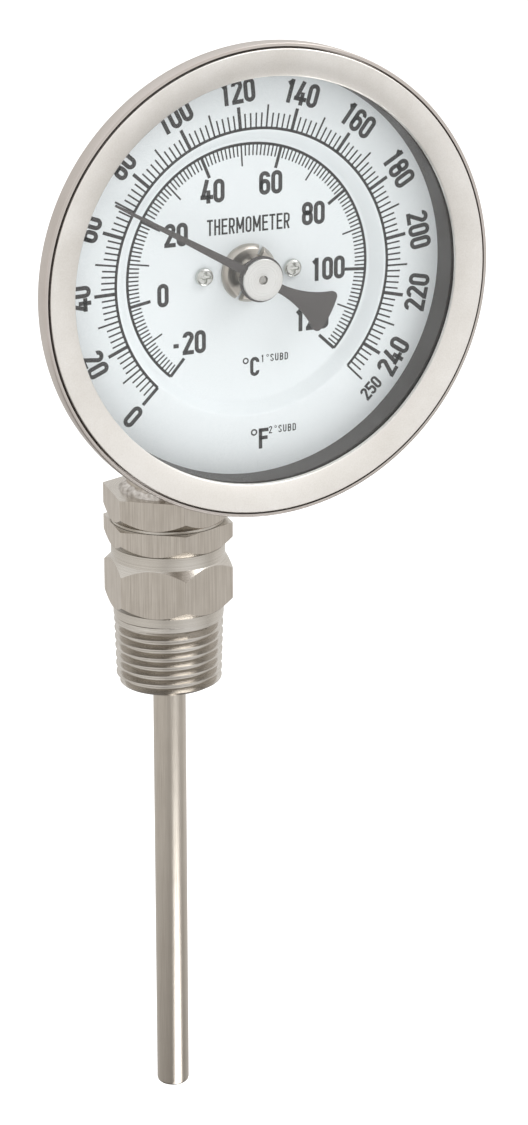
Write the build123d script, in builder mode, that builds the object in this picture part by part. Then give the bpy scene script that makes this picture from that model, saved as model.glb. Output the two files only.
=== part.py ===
"""Dial thermometer with a bimetal stem: 3 in dial, elbow, union type pipe connection, 4 in stem.

Frame: +Z runs up the stem axis, the dial looks towards -Y, and the origin is on the stem axis at
the underside of the process fitting's hexagon, where it faces the vessel. Millimetres.
"""

import os
from math import cos, radians, sin, sqrt, tan

from build123d import *

os.makedirs("parts", exist_ok=True)

# ---------------------------------------------------------------- clearances
RUN = 0.05  # radial clearance of a shaft in its bearing
GAP = 0.06  # gap along the axis between faces that turn on each other
FREE = 0.4  # gap where pieces must never touch

# ---------------------------------------------------------------- stem
STEM_R = 3.175  # 1/4 in stem
STEM_WALL = 0.5
STEM_REACH = 102.4  # hexagon's underside to the stem's tip, a 4 in stem
STEM_TIP_EDGE = 0.9  # rounding of the closed end

# ---------------------------------------------------------------- process fitting
THREAD_R = 10.67  # 1/2 in tapered pipe thread, outside radius at the large end
THREAD_PITCH = 1.8143  # 14 per inch
THREAD_DEPTH = 1.35
THREAD_CREST = 0.18  # flat on the crests and in the roots
THREAD_TAPER = 1 / 32  # radius lost per length
THREAD_END = 15.9  # hexagon's underside to the end of the thread
THREAD_LEAD = 1.3  # chamfer that leads the thread in
PLAIN_COLLAR = 1.8  # unthreaded length under the hexagon
FLAT_MARGIN = 0.43  # hexagon's flats outside the thread, 7/8 in across
HEX_TURN = 23.0  # direction of a hexagon's corner, degrees from +X
HEX_CHAMFER = 45.0  # slope of the corner chamfers
FACE_INSET = 0.1  # round faces inside the flats
FITTING_HEX_H = 9.65
FITTING_COLLAR_H = 2.62
SPIGOT_H = 1.7  # threaded spigot that carries the union nut
SEAL_W = 1.8  # stem seal in its counterbore
SEAL_H = 3.0

# ---------------------------------------------------------------- union nut and neck
NUT_WALL = 2.0
NUT_H = 4.6
NUT_LIP = 1.3  # lip that bears on the swivel sleeve's flange
SWIVEL_CLEAR = 0.6  # swivel sleeve's flange inside the nut's chamber
WASHER_H = 0.4
FLANGE_W = 2.2  # swivel sleeve's flange, radially
NECK_FACE_H = 0.5  # round face under the neck's hexagon
NECK_HEX_H = 5.7
NECK_SHOULDER = 3.1  # neck's round top outside the elbow tube

# ---------------------------------------------------------------- elbow
ELBOW_WALL = 1.25
ELBOW_BEND = 18.0  # radius of the bend's centre line
ELBOW_LEG = 15.4  # straight run from the bend to the case
ELBOW_SEAT = 2.0  # depth of the tube in the neck
WELD_LEG = 1.5

# ---------------------------------------------------------------- case
CASE_LIFT = 8.21  # neck's top to the case's lowest point
SHEET = 0.6  # sheet of the case
WINDOW_R = 36.15
BEZEL_FACE = 5.85  # window's edge to the rim's outside
BEZEL_T = 0.8
WINDOW_DIP = 1.1  # bezel's face falls this far towards the window
RIM_SETBACK = 0.45  # rim's front edge behind the bezel's
RIM_EDGE = 0.3  # rounding of the rim and the bezel
JOINT_GROOVE = 0.35  # groove between rim and bezel
PAN_EDGE = 5.0
GLASS_T = 1.2
GASKET_T = 0.3
SPACER_T = 0.45
SPACER_L = 5.2

# ---------------------------------------------------------------- dial and centre
DIAL_T = 0.5
DIAL_SINK = 2.4  # inner scale lies this far behind the outer one
SINK_R_OUT = 25.5
SINK_R_IN = 23.6
STANDOFF_R = 2.0
STANDOFF_L = 3.6
SCREW_X = 8.5
SCREW_R = 0.8
SCREW_HEAD_R = 1.65
SCREW_HEAD_H = 0.9
CROSS_L = 2.0
CROSS_W = 0.5
CROSS_DEPTH = 0.55
BUSH_R = 3.6
BUSH_FACE_R = 5.2
BUSH_FACE_H = 1.3
BUSH_BEVEL = 0.7
NOTCH_W = 1.0
NOTCH_L = 2.8
NOTCH_TURN = 27.0  # direction of a notch, degrees clockwise from the top
BEARING_R = 2.0
BEARING_L = 2.2

# ---------------------------------------------------------------- pointer
HUB_CLEAR = 0.9  # hub's face behind the glass
HUB_R = 3.75
HUB_HEAD_H = 0.75
HUB_EDGE = 0.15  # rounding of the hub's face
HUB_SHANK_R = 1.9
POINTER_T = 0.5
POINTER_DISC_R = 4.1
POINTER_CLEAR = 4.95  # pointer's tip inside the window's edge
POINTER_ROOT_W = 1.75
POINTER_TIP_W = 0.45
TAIL_REACH = 15.3
TAIL_HALF = 16.8  # half angle of the tail's end
TAIL_NECK_W = 1.65
TAIL_HOLLOW = 0.9  # how far the tail's sides curve in
TAIL_EDGE = 0.9  # rounding of the tail's corners
READING = -60.3  # pointer's direction, degrees clockwise from the top
SPINDLE_R = 0.8
SPINDLE_SINK = 0.25  # spindle's end below the hub's face
CLIP_T = 0.6
CLIP_W = 0.8

# ---------------------------------------------------------------- drive
SHAFT_R = 0.8
SHAFT_RISE = 3.0  # shaft's top above the neck
GUIDE_L = 4.0
GUIDE_LOW_Z = -30.0
GUIDE_HIGH_Z = 12.0
SLEEVE_W = 0.8
SLEEVE_L = 4.0
COUPLING_R = 1.15
COUPLING_OVERRUN = 6.0  # straight run of the coupling past the bend
HELIX_CLEAR = 0.7  # helix inside the stem's bore
HELIX_STRIP = 0.35
HELIX_WIDTH = 2.0
HELIX_PITCH = 3.0
HELIX_TURNS = 14
HELIX_COLLAR_H = 2.5
ANCHOR_H = 3.0

# ---------------------------------------------------------------- heights up the stem axis
HEX_AF = 2 * (THREAD_R + FLAT_MARGIN)
HEX_R = HEX_AF / sqrt(3)
FACE_R = HEX_AF / 2 - FACE_INSET
ELBOW_R = FACE_R - NECK_SHOULDER
SPIGOT_R = FACE_R - NUT_WALL
SWIVEL_R = SPIGOT_R - SWIVEL_CLEAR
SLEEVE_R = SWIVEL_R - FLANGE_W
SEAL_R = STEM_R + SEAL_W
COLLAR_Z = FITTING_HEX_H + FITTING_COLLAR_H
SPIGOT_Z = COLLAR_Z + SPIGOT_H
WASHER_Z = SPIGOT_Z + WASHER_H
SWIVEL_Z = WASHER_Z + GAP
NUT_Z = COLLAR_Z + GAP
NUT_TOP = NUT_Z + NUT_H
LIP_Z = NUT_TOP - NUT_LIP
NECK_Z = NUT_TOP + GAP
NECK_HEX_Z = NECK_Z + NECK_FACE_H
NECK_TOP = NECK_HEX_Z + NECK_HEX_H
ELBOW_FOOT = NECK_TOP - ELBOW_SEAT

# ---------------------------------------------------------------- depths along the dial's axis
RIM_R = WINDOW_R + BEZEL_FACE
DIAL_Z = NECK_TOP + CASE_LIFT + RIM_R
PAN_IN_R = WINDOW_R + SPACER_T
PAN_R = PAN_IN_R + SHEET
BEZEL_R = RIM_R - SHEET - JOINT_GROOVE
BEZEL_IN_R = BEZEL_R - BEZEL_T
GLASS_R = BEZEL_IN_R - FREE
PAN_BACK_Y = -(ELBOW_BEND + ELBOW_LEG)
PAN_IN_Y = PAN_BACK_Y - SHEET
DIAL_BACK_Y = PAN_IN_Y - STANDOFF_L
SINK_Y = DIAL_BACK_Y - DIAL_T
DIAL_Y = SINK_Y - DIAL_SINK
GLASS_BACK_Y = DIAL_Y - SPACER_L
FLANGE_Y = GLASS_BACK_Y + GASKET_T
RIM_BACK_Y = FLANGE_Y + SHEET
GLASS_Y = GLASS_BACK_Y - GLASS_T
LIP_Y = GLASS_Y - BEZEL_T
FRONT_Y = LIP_Y - WINDOW_DIP
RIM_FRONT_Y = FRONT_Y + RIM_SETBACK
BUSH_FRONT_Y = SINK_Y - BUSH_FACE_H
BUSH_BACK_Y = PAN_BACK_Y + SHEET
HUB_Y = GLASS_BACK_Y + HUB_CLEAR
POINTER_Y = HUB_Y + HUB_HEAD_H
HUB_BACK_Y = BUSH_FRONT_Y - FREE
POINTER_REACH = WINDOW_R - POINTER_CLEAR

# ---------------------------------------------------------------- drive, from the stem's tip up
STEM_BORE = STEM_R - STEM_WALL
HELIX_R = STEM_BORE - HELIX_CLEAR
HELIX_MEAN_R = HELIX_R - HELIX_STRIP / 2
HELIX_FOOT = -STEM_REACH + STEM_WALL + ANCHOR_H
HELIX_TOP = HELIX_FOOT + HELIX_TURNS * HELIX_PITCH + HELIX_WIDTH
SHAFT_FOOT = HELIX_TOP + GAP
SHAFT_TOP = NECK_TOP + SHAFT_RISE
COUPLING_FOOT = SHAFT_TOP + FREE
BEND_Z = DIAL_Z - ELBOW_BEND
COUPLING_END_Y = -ELBOW_BEND - COUPLING_OVERRUN
SPINDLE_BACK_Y = COUPLING_END_Y - FREE
CLIP_Y = BUSH_BACK_Y + GAP

DIAL_AXIS = Axis((0, 0, DIAL_Z), (0, 1, 0))
DIAL_SECTION = Plane(origin=(0, 0, DIAL_Z), x_dir=(1, 0, 0), z_dir=(0, 0, 1))


def facing(y, turn=0.0):
    """Plane across the dial's axis at y, looking forward, its own Y turned clockwise from the top."""
    side = Vector(cos(radians(turn)), 0, -sin(radians(turn)))
    return Plane(origin=(0, y, DIAL_Z), x_dir=side, z_dir=(0, -1, 0))


def publish(part, label):
    """Names a finished piece and writes it."""
    part.label = label
    export_step(part, f"parts/{label}.step")


def hex_envelope(low, high, low_chamfer, high_chamfer):
    """Section, in radius and height, that cuts a hexagon's corners at either end."""
    drop = (HEX_R - FACE_R) * tan(radians(HEX_CHAMFER))
    low_edge = low + (drop if low_chamfer else 0)
    high_edge = high - (drop if high_chamfer else 0)
    low_r = FACE_R if low_chamfer else HEX_R
    high_r = FACE_R if high_chamfer else HEX_R
    points = [(0, low), (low_r, low)]
    points += [(HEX_R, low_edge)] if low_chamfer else []
    points += [(HEX_R, high_edge)] if high_chamfer else []
    return points + [(high_r, high), (0, high)]


def thread_profile():
    """Ring by ring section of the tapered thread, from its end face up to the plain collar."""
    points = []
    crest = -THREAD_END
    while crest < -PLAIN_COLLAR - THREAD_PITCH:
        outer = THREAD_R + (crest + PLAIN_COLLAR) * THREAD_TAPER
        lead = THREAD_R - THREAD_LEAD + (crest + THREAD_END)
        outer = min(outer, lead)
        root = min(outer, THREAD_R - THREAD_DEPTH + (crest + PLAIN_COLLAR) * THREAD_TAPER)
        valley = crest + THREAD_PITCH / 2
        points += [(outer, crest), (outer, crest + THREAD_CREST)]
        points += [(root, valley), (root, valley + THREAD_CREST)]
        crest += THREAD_PITCH
    return points + [(THREAD_R, -PLAIN_COLLAR)]


# ================================================================ process fitting
with BuildPart() as process_fitting:
    with BuildSketch(Plane.XY) as fitting_hex:
        RegularPolygon(HEX_R, 6, rotation=HEX_TURN)
    extrude(amount=FITTING_HEX_H)
    with BuildSketch(Plane.XZ) as fitting_envelope:
        Polygon(*hex_envelope(0, FITTING_HEX_H, True, True), align=None)
    revolve(axis=Axis.Z, mode=Mode.INTERSECT)
    with BuildSketch(Plane.XY.offset(FITTING_HEX_H)) as fitting_collar:
        Circle(FACE_R)
    extrude(amount=FITTING_COLLAR_H)
    with BuildSketch(Plane.XY.offset(COLLAR_Z)) as fitting_spigot:
        Circle(SPIGOT_R)
    extrude(amount=SPIGOT_H)
    with BuildSketch(Plane.XZ) as thread_section:
        Polygon((0, -THREAD_END), *thread_profile(), (THREAD_R, 0), (0, 0), align=None)
    revolve(axis=Axis.Z)
    with BuildSketch(Plane.XY.offset(-THREAD_END)) as stem_bore:
        Circle(STEM_R + RUN)
    extrude(amount=THREAD_END + SPIGOT_Z, mode=Mode.SUBTRACT)
    with BuildSketch(Plane.XY.offset(SPIGOT_Z - SEAL_H)) as seal_bore:
        Circle(SEAL_R)
    extrude(amount=SEAL_H, mode=Mode.SUBTRACT)
publish(process_fitting.part, "process_fitting")

with BuildPart() as stem_seal:
    with BuildSketch(Plane.XY.offset(SPIGOT_Z - SEAL_H)) as seal_ring:
        Circle(SEAL_R)
        Circle(STEM_R + RUN, mode=Mode.SUBTRACT)
    extrude(amount=SEAL_H)
publish(stem_seal.part, "stem_seal")

with BuildPart() as thrust_washer:
    with BuildSketch(Plane.XY.offset(SPIGOT_Z)) as washer_ring:
        Circle(SWIVEL_R)
        Circle(SEAL_R, mode=Mode.SUBTRACT)
    extrude(amount=WASHER_H)
publish(thrust_washer.part, "thrust_washer")

# ================================================================ union nut
with BuildPart() as union_nut:
    with BuildSketch(Plane.XY.offset(NUT_Z)) as nut_hex:
        RegularPolygon(HEX_R, 6, rotation=HEX_TURN)
    extrude(amount=NUT_H)
    with BuildSketch(Plane.XZ) as nut_envelope:
        Polygon(*hex_envelope(NUT_Z, NUT_TOP, True, False), align=None)
    revolve(axis=Axis.Z, mode=Mode.INTERSECT)
    with BuildSketch(Plane.XY.offset(NUT_Z)) as nut_chamber:
        Circle(SPIGOT_R + RUN)
    extrude(amount=NUT_H - NUT_LIP, mode=Mode.SUBTRACT)
    with BuildSketch(Plane.XY.offset(LIP_Z)) as nut_mouth:
        Circle(SLEEVE_R + RUN)
    extrude(amount=NUT_LIP, mode=Mode.SUBTRACT)
publish(union_nut.part, "union_nut")

# ================================================================ neck and swivel sleeve
with BuildPart() as neck_hex:
    with BuildSketch(Plane.XY.offset(NECK_HEX_Z)) as neck_prism:
        RegularPolygon(HEX_R, 6, rotation=HEX_TURN)
    extrude(amount=NECK_HEX_H)
    with BuildSketch(Plane.XZ) as neck_envelope:
        Polygon(*hex_envelope(NECK_HEX_Z, NECK_TOP, True, False), align=None)
    revolve(axis=Axis.Z, mode=Mode.INTERSECT)
    with BuildSketch(Plane.XY.offset(NECK_Z)) as neck_face:
        Circle(FACE_R - FACE_INSET)
    extrude(amount=NECK_FACE_H)
    with BuildSketch(Plane.XY.offset(NECK_Z)) as neck_bore:
        Circle(SLEEVE_R)
    extrude(amount=NECK_TOP - NECK_Z, mode=Mode.SUBTRACT)
    with BuildSketch(Plane.XY.offset(ELBOW_FOOT)) as elbow_seat:
        Circle(ELBOW_R)
    extrude(amount=ELBOW_SEAT, mode=Mode.SUBTRACT)
publish(neck_hex.part, "neck_hex")

with BuildPart() as swivel_sleeve:
    with BuildSketch(Plane.XY.offset(SWIVEL_Z)) as swivel_flange:
        Circle(SWIVEL_R)
    extrude(amount=LIP_Z - SWIVEL_Z - GAP)
    with BuildSketch(Plane.XY.offset(SWIVEL_Z)) as swivel_barrel:
        Circle(SLEEVE_R)
    extrude(amount=ELBOW_FOOT - SWIVEL_Z)
    with BuildSketch(Plane.XY.offset(SWIVEL_Z)) as swivel_bore:
        Circle(STEM_R)
    extrude(amount=ELBOW_FOOT - SWIVEL_Z, mode=Mode.SUBTRACT)
publish(swivel_sleeve.part, "swivel_sleeve")

# ================================================================ elbow and welds
with BuildPart() as elbow_tube:
    with BuildLine() as elbow_route:
        Line((0, 0, ELBOW_FOOT), (0, 0, BEND_Z))
        TangentArc((0, 0, BEND_Z), (0, -ELBOW_BEND, DIAL_Z), tangent=(0, 0, 1))
        Line((0, -ELBOW_BEND, DIAL_Z), (0, PAN_BACK_Y, DIAL_Z))
    with BuildSketch(Plane.XY.offset(ELBOW_FOOT)) as elbow_ring:
        Circle(ELBOW_R)
        Circle(ELBOW_R - ELBOW_WALL, mode=Mode.SUBTRACT)
    sweep(path=elbow_route.wire())
publish(elbow_tube.part, "elbow_tube")

with BuildPart() as neck_weld:
    with BuildSketch(Plane.XZ) as neck_weld_section:
        Polygon(
            (ELBOW_R, NECK_TOP), (ELBOW_R + WELD_LEG, NECK_TOP), (ELBOW_R, NECK_TOP + WELD_LEG), align=None
        )
    revolve(axis=Axis.Z)
publish(neck_weld.part, "neck_weld")

with BuildPart() as case_weld:
    with BuildSketch(DIAL_SECTION) as case_weld_section:
        Polygon(
            (ELBOW_R, PAN_BACK_Y), (ELBOW_R + WELD_LEG, PAN_BACK_Y), (ELBOW_R, PAN_BACK_Y + WELD_LEG), align=None
        )
    revolve(axis=DIAL_AXIS)
publish(case_weld.part, "case_weld")

# ================================================================ case, bezel and window
with BuildPart() as case_pan:
    with BuildSketch(DIAL_SECTION) as pan_section:
        with BuildLine() as pan_outline:
            Polyline(
                (BUSH_R, PAN_IN_Y),
                (PAN_IN_R, PAN_IN_Y),
                (PAN_IN_R, FLANGE_Y),
                (RIM_R - SHEET, FLANGE_Y),
                (RIM_R - SHEET, RIM_FRONT_Y),
                (RIM_R, RIM_FRONT_Y),
                (RIM_R, RIM_BACK_Y),
                (PAN_R, RIM_BACK_Y),
                (PAN_R, PAN_BACK_Y),
                (BUSH_R, PAN_BACK_Y),
                close=True,
            )
        make_face()
        fillet(pan_section.vertices().sort_by_distance((PAN_R, PAN_BACK_Y))[0], PAN_EDGE)
        fillet(pan_section.vertices().sort_by_distance((PAN_IN_R, PAN_IN_Y))[0], PAN_EDGE - SHEET)
        fillet(pan_section.vertices().sort_by_distance((RIM_R, RIM_BACK_Y))[0], RIM_EDGE)
        fillet(pan_section.vertices().sort_by_distance((RIM_R, RIM_FRONT_Y))[0], RIM_EDGE)
    revolve(axis=DIAL_AXIS)
publish(case_pan.part, "case_pan")

with BuildPart() as bezel_ring:
    with BuildSketch(DIAL_SECTION) as bezel_section:
        with BuildLine() as bezel_outline:
            Polyline(
                (WINDOW_R, LIP_Y),
                (BEZEL_R, FRONT_Y),
                (BEZEL_R, FLANGE_Y),
                (BEZEL_IN_R, FLANGE_Y),
                (BEZEL_IN_R, GLASS_Y),
                (WINDOW_R, GLASS_Y),
                close=True,
            )
        make_face()
        fillet(bezel_section.vertices().sort_by_distance((WINDOW_R, LIP_Y))[0], RIM_EDGE)
        fillet(bezel_section.vertices().sort_by_distance((BEZEL_R, FRONT_Y))[0], RIM_EDGE)
    revolve(axis=DIAL_AXIS)
publish(bezel_ring.part, "bezel_ring")

with BuildPart() as window_glass:
    with BuildSketch(facing(GLASS_BACK_Y)) as glass_disc:
        Circle(GLASS_R)
    extrude(amount=GLASS_T)
publish(window_glass.part, "window_glass")

with BuildPart() as window_gasket:
    with BuildSketch(facing(FLANGE_Y)) as gasket_disc:
        Circle(GLASS_R)
        Circle(PAN_IN_R, mode=Mode.SUBTRACT)
    extrude(amount=GASKET_T)
publish(window_gasket.part, "window_gasket")

with BuildPart() as spacer_ring:
    with BuildSketch(facing(DIAL_Y)) as spacer_disc:
        Circle(PAN_IN_R)
        Circle(WINDOW_R, mode=Mode.SUBTRACT)
    extrude(amount=SPACER_L)
publish(spacer_ring.part, "spacer_ring")

# ================================================================ dial
with BuildPart() as dial_plate:
    with BuildSketch(DIAL_SECTION) as dial_section:
        Polygon(
            (BUSH_R, SINK_Y),
            (SINK_R_IN, SINK_Y),
            (SINK_R_OUT, DIAL_Y),
            (PAN_IN_R, DIAL_Y),
            (PAN_IN_R, DIAL_Y + DIAL_T),
            (SINK_R_OUT, DIAL_Y + DIAL_T),
            (SINK_R_IN, DIAL_BACK_Y),
            (BUSH_R, DIAL_BACK_Y),
            align=None,
        )
    revolve(axis=DIAL_AXIS)
    with BuildSketch(facing(SINK_Y)) as dial_holes:
        with GridLocations(2 * SCREW_X, 0, 2, 1):
            Circle(SCREW_R)
    extrude(amount=-DIAL_T, mode=Mode.SUBTRACT)
publish(dial_plate.part, "dial_plate")

with BuildPart() as dial_standoffs:
    with BuildSketch(facing(PAN_IN_Y)) as standoff_posts:
        with GridLocations(2 * SCREW_X, 0, 2, 1):
            Circle(STANDOFF_R)
            Circle(SCREW_R, mode=Mode.SUBTRACT)
    extrude(amount=PAN_IN_Y - DIAL_BACK_Y)
publish(dial_standoffs.part, "dial_standoffs")

with BuildPart() as dial_screws:
    with BuildSketch(facing(SINK_Y)) as screw_heads:
        with GridLocations(2 * SCREW_X, 0, 2, 1):
            Circle(SCREW_HEAD_R)
    extrude(amount=SCREW_HEAD_H)
    fillet(dial_screws.faces().sort_by(Axis.Y)[:2].edges(), CROSS_DEPTH)
    with BuildSketch(facing(SINK_Y)) as screw_shanks:
        with GridLocations(2 * SCREW_X, 0, 2, 1):
            Circle(SCREW_R)
    extrude(amount=SINK_Y - PAN_IN_Y + FREE)
    with BuildSketch(facing(SINK_Y - SCREW_HEAD_H)) as screw_slots:
        with GridLocations(2 * SCREW_X, 0, 2, 1):
            Rectangle(CROSS_L, CROSS_W)
            Rectangle(CROSS_W, CROSS_L)
    extrude(amount=-CROSS_DEPTH, mode=Mode.SUBTRACT)
publish(dial_screws.part, "dial_screws")

# ================================================================ centre bushing and bearing
with BuildPart() as center_bushing:
    with BuildSketch(DIAL_SECTION) as bushing_section:
        with BuildLine() as bushing_outline:
            Polyline(
                (BEARING_R, BUSH_FRONT_Y),
                (BUSH_FACE_R, BUSH_FRONT_Y),
                (BUSH_FACE_R, SINK_Y),
                (BUSH_R, SINK_Y),
                (BUSH_R, BUSH_BACK_Y),
                (BEARING_R, BUSH_BACK_Y),
                close=True,
            )
        make_face()
        chamfer(
            bushing_section.vertices().sort_by_distance((BUSH_FACE_R, BUSH_FRONT_Y))[0],
            BUSH_BEVEL,
        )
    revolve(axis=DIAL_AXIS)
    with BuildSketch(facing(BUSH_FRONT_Y, NOTCH_TURN)) as bushing_notches:
        with GridLocations(0, 2 * BUSH_FACE_R, 1, 2):
            Rectangle(NOTCH_W, 2 * NOTCH_L)
    extrude(amount=-BUSH_FACE_H, mode=Mode.SUBTRACT)
publish(center_bushing.part, "center_bushing")

BEARINGS = {"front_bearing": BUSH_FRONT_Y + BEARING_L, "rear_bearing": BUSH_BACK_Y}
for bearing_label, bearing_y in BEARINGS.items():
    with BuildPart() as bearing:
        with BuildSketch(facing(bearing_y)) as bearing_ring:
            Circle(BEARING_R)
            Circle(SPINDLE_R + RUN, mode=Mode.SUBTRACT)
        extrude(amount=BEARING_L)
    publish(bearing.part, bearing_label)

# ================================================================ pointer, hub and spindle
TAIL_NECK = (TAIL_NECK_W / 2, -POINTER_DISC_R * cos(radians(TAIL_HALF)))
TAIL_CORNER = (TAIL_REACH * sin(radians(TAIL_HALF)), -TAIL_REACH * cos(radians(TAIL_HALF)))

with BuildPart() as pointer:
    with BuildSketch(facing(POINTER_Y + POINTER_T, READING)) as pointer_outline:
        Circle(POINTER_DISC_R)
        with BuildLine() as arm_outline:
            Polyline(
                (-POINTER_ROOT_W / 2, 0),
                (-POINTER_TIP_W / 2, POINTER_REACH),
                (POINTER_TIP_W / 2, POINTER_REACH),
                (POINTER_ROOT_W / 2, 0),
                close=True,
            )
        make_face()
        with BuildLine() as tail_outline:
            SagittaArc(TAIL_NECK, TAIL_CORNER, -TAIL_HOLLOW)
            RadiusArc(TAIL_CORNER, (-TAIL_CORNER[0], TAIL_CORNER[1]), TAIL_REACH)
            SagittaArc((-TAIL_CORNER[0], TAIL_CORNER[1]), (-TAIL_NECK[0], TAIL_NECK[1]), -TAIL_HOLLOW)
            Line((-TAIL_NECK[0], TAIL_NECK[1]), TAIL_NECK)
        make_face()
        fillet(pointer_outline.vertices().sort_by(Axis.Y)[:2], TAIL_EDGE)
        Circle(HUB_SHANK_R, mode=Mode.SUBTRACT)
    extrude(amount=POINTER_T)
publish(pointer.part, "pointer")

with BuildPart() as pointer_hub:
    with BuildSketch(DIAL_SECTION) as hub_section:
        with BuildLine() as hub_outline:
            Polyline(
                (SPINDLE_R, HUB_Y),
                (HUB_R, HUB_Y),
                (HUB_R, POINTER_Y),
                (HUB_SHANK_R, POINTER_Y),
                (HUB_SHANK_R, HUB_BACK_Y),
                (SPINDLE_R, HUB_BACK_Y),
                close=True,
            )
        make_face()
        fillet(hub_section.vertices().sort_by_distance((HUB_R, HUB_Y))[0], HUB_EDGE)
    revolve(axis=DIAL_AXIS)
publish(pointer_hub.part, "pointer_hub")

with BuildPart() as pointer_spindle:
    with BuildSketch(facing(SPINDLE_BACK_Y)) as spindle_rod:
        Circle(SPINDLE_R)
    extrude(amount=SPINDLE_BACK_Y - HUB_Y - SPINDLE_SINK)
publish(pointer_spindle.part, "pointer_spindle")

with BuildPart() as spindle_clip:
    with BuildSketch(facing(CLIP_Y + CLIP_T)) as clip_ring:
        Circle(SPINDLE_R + CLIP_W)
        Circle(SPINDLE_R, mode=Mode.SUBTRACT)
    extrude(amount=CLIP_T)
publish(spindle_clip.part, "spindle_clip")

with BuildPart() as spindle_sleeve:
    with BuildSketch(facing(SPINDLE_BACK_Y)) as spindle_sleeve_ring:
        Circle(SPINDLE_R + SLEEVE_W)
        Circle(SPINDLE_R, mode=Mode.SUBTRACT)
    extrude(amount=SLEEVE_L)
publish(spindle_sleeve.part, "spindle_sleeve")

# ================================================================ stem and drive
with BuildPart() as stem_tube:
    with BuildSketch(Plane.XY.offset(-STEM_REACH)) as stem_disc:
        Circle(STEM_R)
    extrude(amount=STEM_REACH + ELBOW_FOOT)
    fillet(stem_tube.faces().sort_by(Axis.Z)[0].edges(), STEM_TIP_EDGE)
    with BuildSketch(Plane.XY.offset(-STEM_REACH + STEM_WALL)) as stem_hollow:
        Circle(STEM_BORE)
    extrude(amount=STEM_REACH + ELBOW_FOOT - STEM_WALL, mode=Mode.SUBTRACT)
publish(stem_tube.part, "stem_tube")

with BuildPart() as helix_anchor:
    with BuildSketch(Plane.XY.offset(-STEM_REACH + STEM_WALL)) as anchor_disc:
        Circle(STEM_BORE)
    extrude(amount=ANCHOR_H)
publish(helix_anchor.part, "helix_anchor")

with BuildPart() as bimetal_helix:
    with BuildLine() as helix_route:
        Helix(
            HELIX_PITCH,
            HELIX_TURNS * HELIX_PITCH,
            HELIX_MEAN_R,
            center=(0, 0, HELIX_FOOT + HELIX_WIDTH / 2),
        )
        strip_start = helix_route.line @ 0
        strip_way = helix_route.line % 0
    with BuildSketch(Plane(strip_start, x_dir=(strip_start.X, strip_start.Y, 0), z_dir=strip_way)) as strip:
        Rectangle(HELIX_STRIP, HELIX_WIDTH)
    sweep(path=helix_route.wire(), is_frenet=True)
publish(bimetal_helix.part, "bimetal_helix")

with BuildPart() as helix_collar:
    with BuildSketch(Plane.XY.offset(SHAFT_FOOT)) as collar_ring:
        Circle(HELIX_R)
        Circle(SHAFT_R, mode=Mode.SUBTRACT)
    extrude(amount=HELIX_COLLAR_H)
publish(helix_collar.part, "helix_collar")

with BuildPart() as drive_shaft:
    with BuildSketch(Plane.XY.offset(SHAFT_FOOT)) as shaft_rod:
        Circle(SHAFT_R)
    extrude(amount=SHAFT_TOP - SHAFT_FOOT)
publish(drive_shaft.part, "drive_shaft")

with BuildPart() as shaft_sleeve:
    with BuildSketch(Plane.XY.offset(SHAFT_TOP - SLEEVE_L)) as shaft_sleeve_ring:
        Circle(SHAFT_R + SLEEVE_W)
        Circle(SHAFT_R, mode=Mode.SUBTRACT)
    extrude(amount=SLEEVE_L)
publish(shaft_sleeve.part, "shaft_sleeve")

for guide_label, guide_z in (("guide_bush_lower", GUIDE_LOW_Z), ("guide_bush_upper", GUIDE_HIGH_Z)):
    with BuildPart() as guide_bush:
        with BuildSketch(Plane.XY.offset(guide_z)) as guide_ring:
            Circle(STEM_BORE)
            Circle(SHAFT_R + RUN, mode=Mode.SUBTRACT)
        extrude(amount=GUIDE_L)
    publish(guide_bush.part, guide_label)

with BuildPart() as flexible_coupling:
    with BuildLine() as coupling_route:
        Line((0, 0, COUPLING_FOOT), (0, 0, BEND_Z))
        TangentArc((0, 0, BEND_Z), (0, -ELBOW_BEND, DIAL_Z), tangent=(0, 0, 1))
        Line((0, -ELBOW_BEND, DIAL_Z), (0, COUPLING_END_Y, DIAL_Z))
    with BuildSketch(Plane.XY.offset(COUPLING_FOOT)) as coupling_disc:
        Circle(COUPLING_R)
    sweep(path=coupling_route.wire())
publish(flexible_coupling.part, "flexible_coupling")
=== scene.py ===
"""Dial thermometer with a bimetal stem, dressed and lit for the studio.

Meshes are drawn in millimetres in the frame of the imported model, +Z up the stem and the dial towards
-Y, and stored in metres. What faces the reader is drawn flat, with its own Z towards the reader, and
then stood up on the dial's axis.
"""

import logging
import math
from dataclasses import dataclass, field
from enum import Enum
from typing import Callable, Mapping, Sequence

import bmesh
import bpy
from mathutils import Matrix, Vector, noise


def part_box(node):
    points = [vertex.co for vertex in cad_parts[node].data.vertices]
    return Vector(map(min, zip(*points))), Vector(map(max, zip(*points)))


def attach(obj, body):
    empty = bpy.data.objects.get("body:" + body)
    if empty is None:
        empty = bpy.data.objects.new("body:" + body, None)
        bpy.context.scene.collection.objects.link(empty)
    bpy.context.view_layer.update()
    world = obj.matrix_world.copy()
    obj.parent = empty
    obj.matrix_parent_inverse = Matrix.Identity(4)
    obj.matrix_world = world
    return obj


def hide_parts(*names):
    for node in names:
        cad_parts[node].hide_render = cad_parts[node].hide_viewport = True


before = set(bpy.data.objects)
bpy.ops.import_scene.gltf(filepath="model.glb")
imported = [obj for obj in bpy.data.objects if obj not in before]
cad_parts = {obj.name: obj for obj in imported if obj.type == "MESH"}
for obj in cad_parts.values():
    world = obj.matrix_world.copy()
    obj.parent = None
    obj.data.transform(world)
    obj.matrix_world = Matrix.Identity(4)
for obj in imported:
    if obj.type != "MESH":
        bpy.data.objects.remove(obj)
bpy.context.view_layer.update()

log = logging.getLogger("thermometer")

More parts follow.
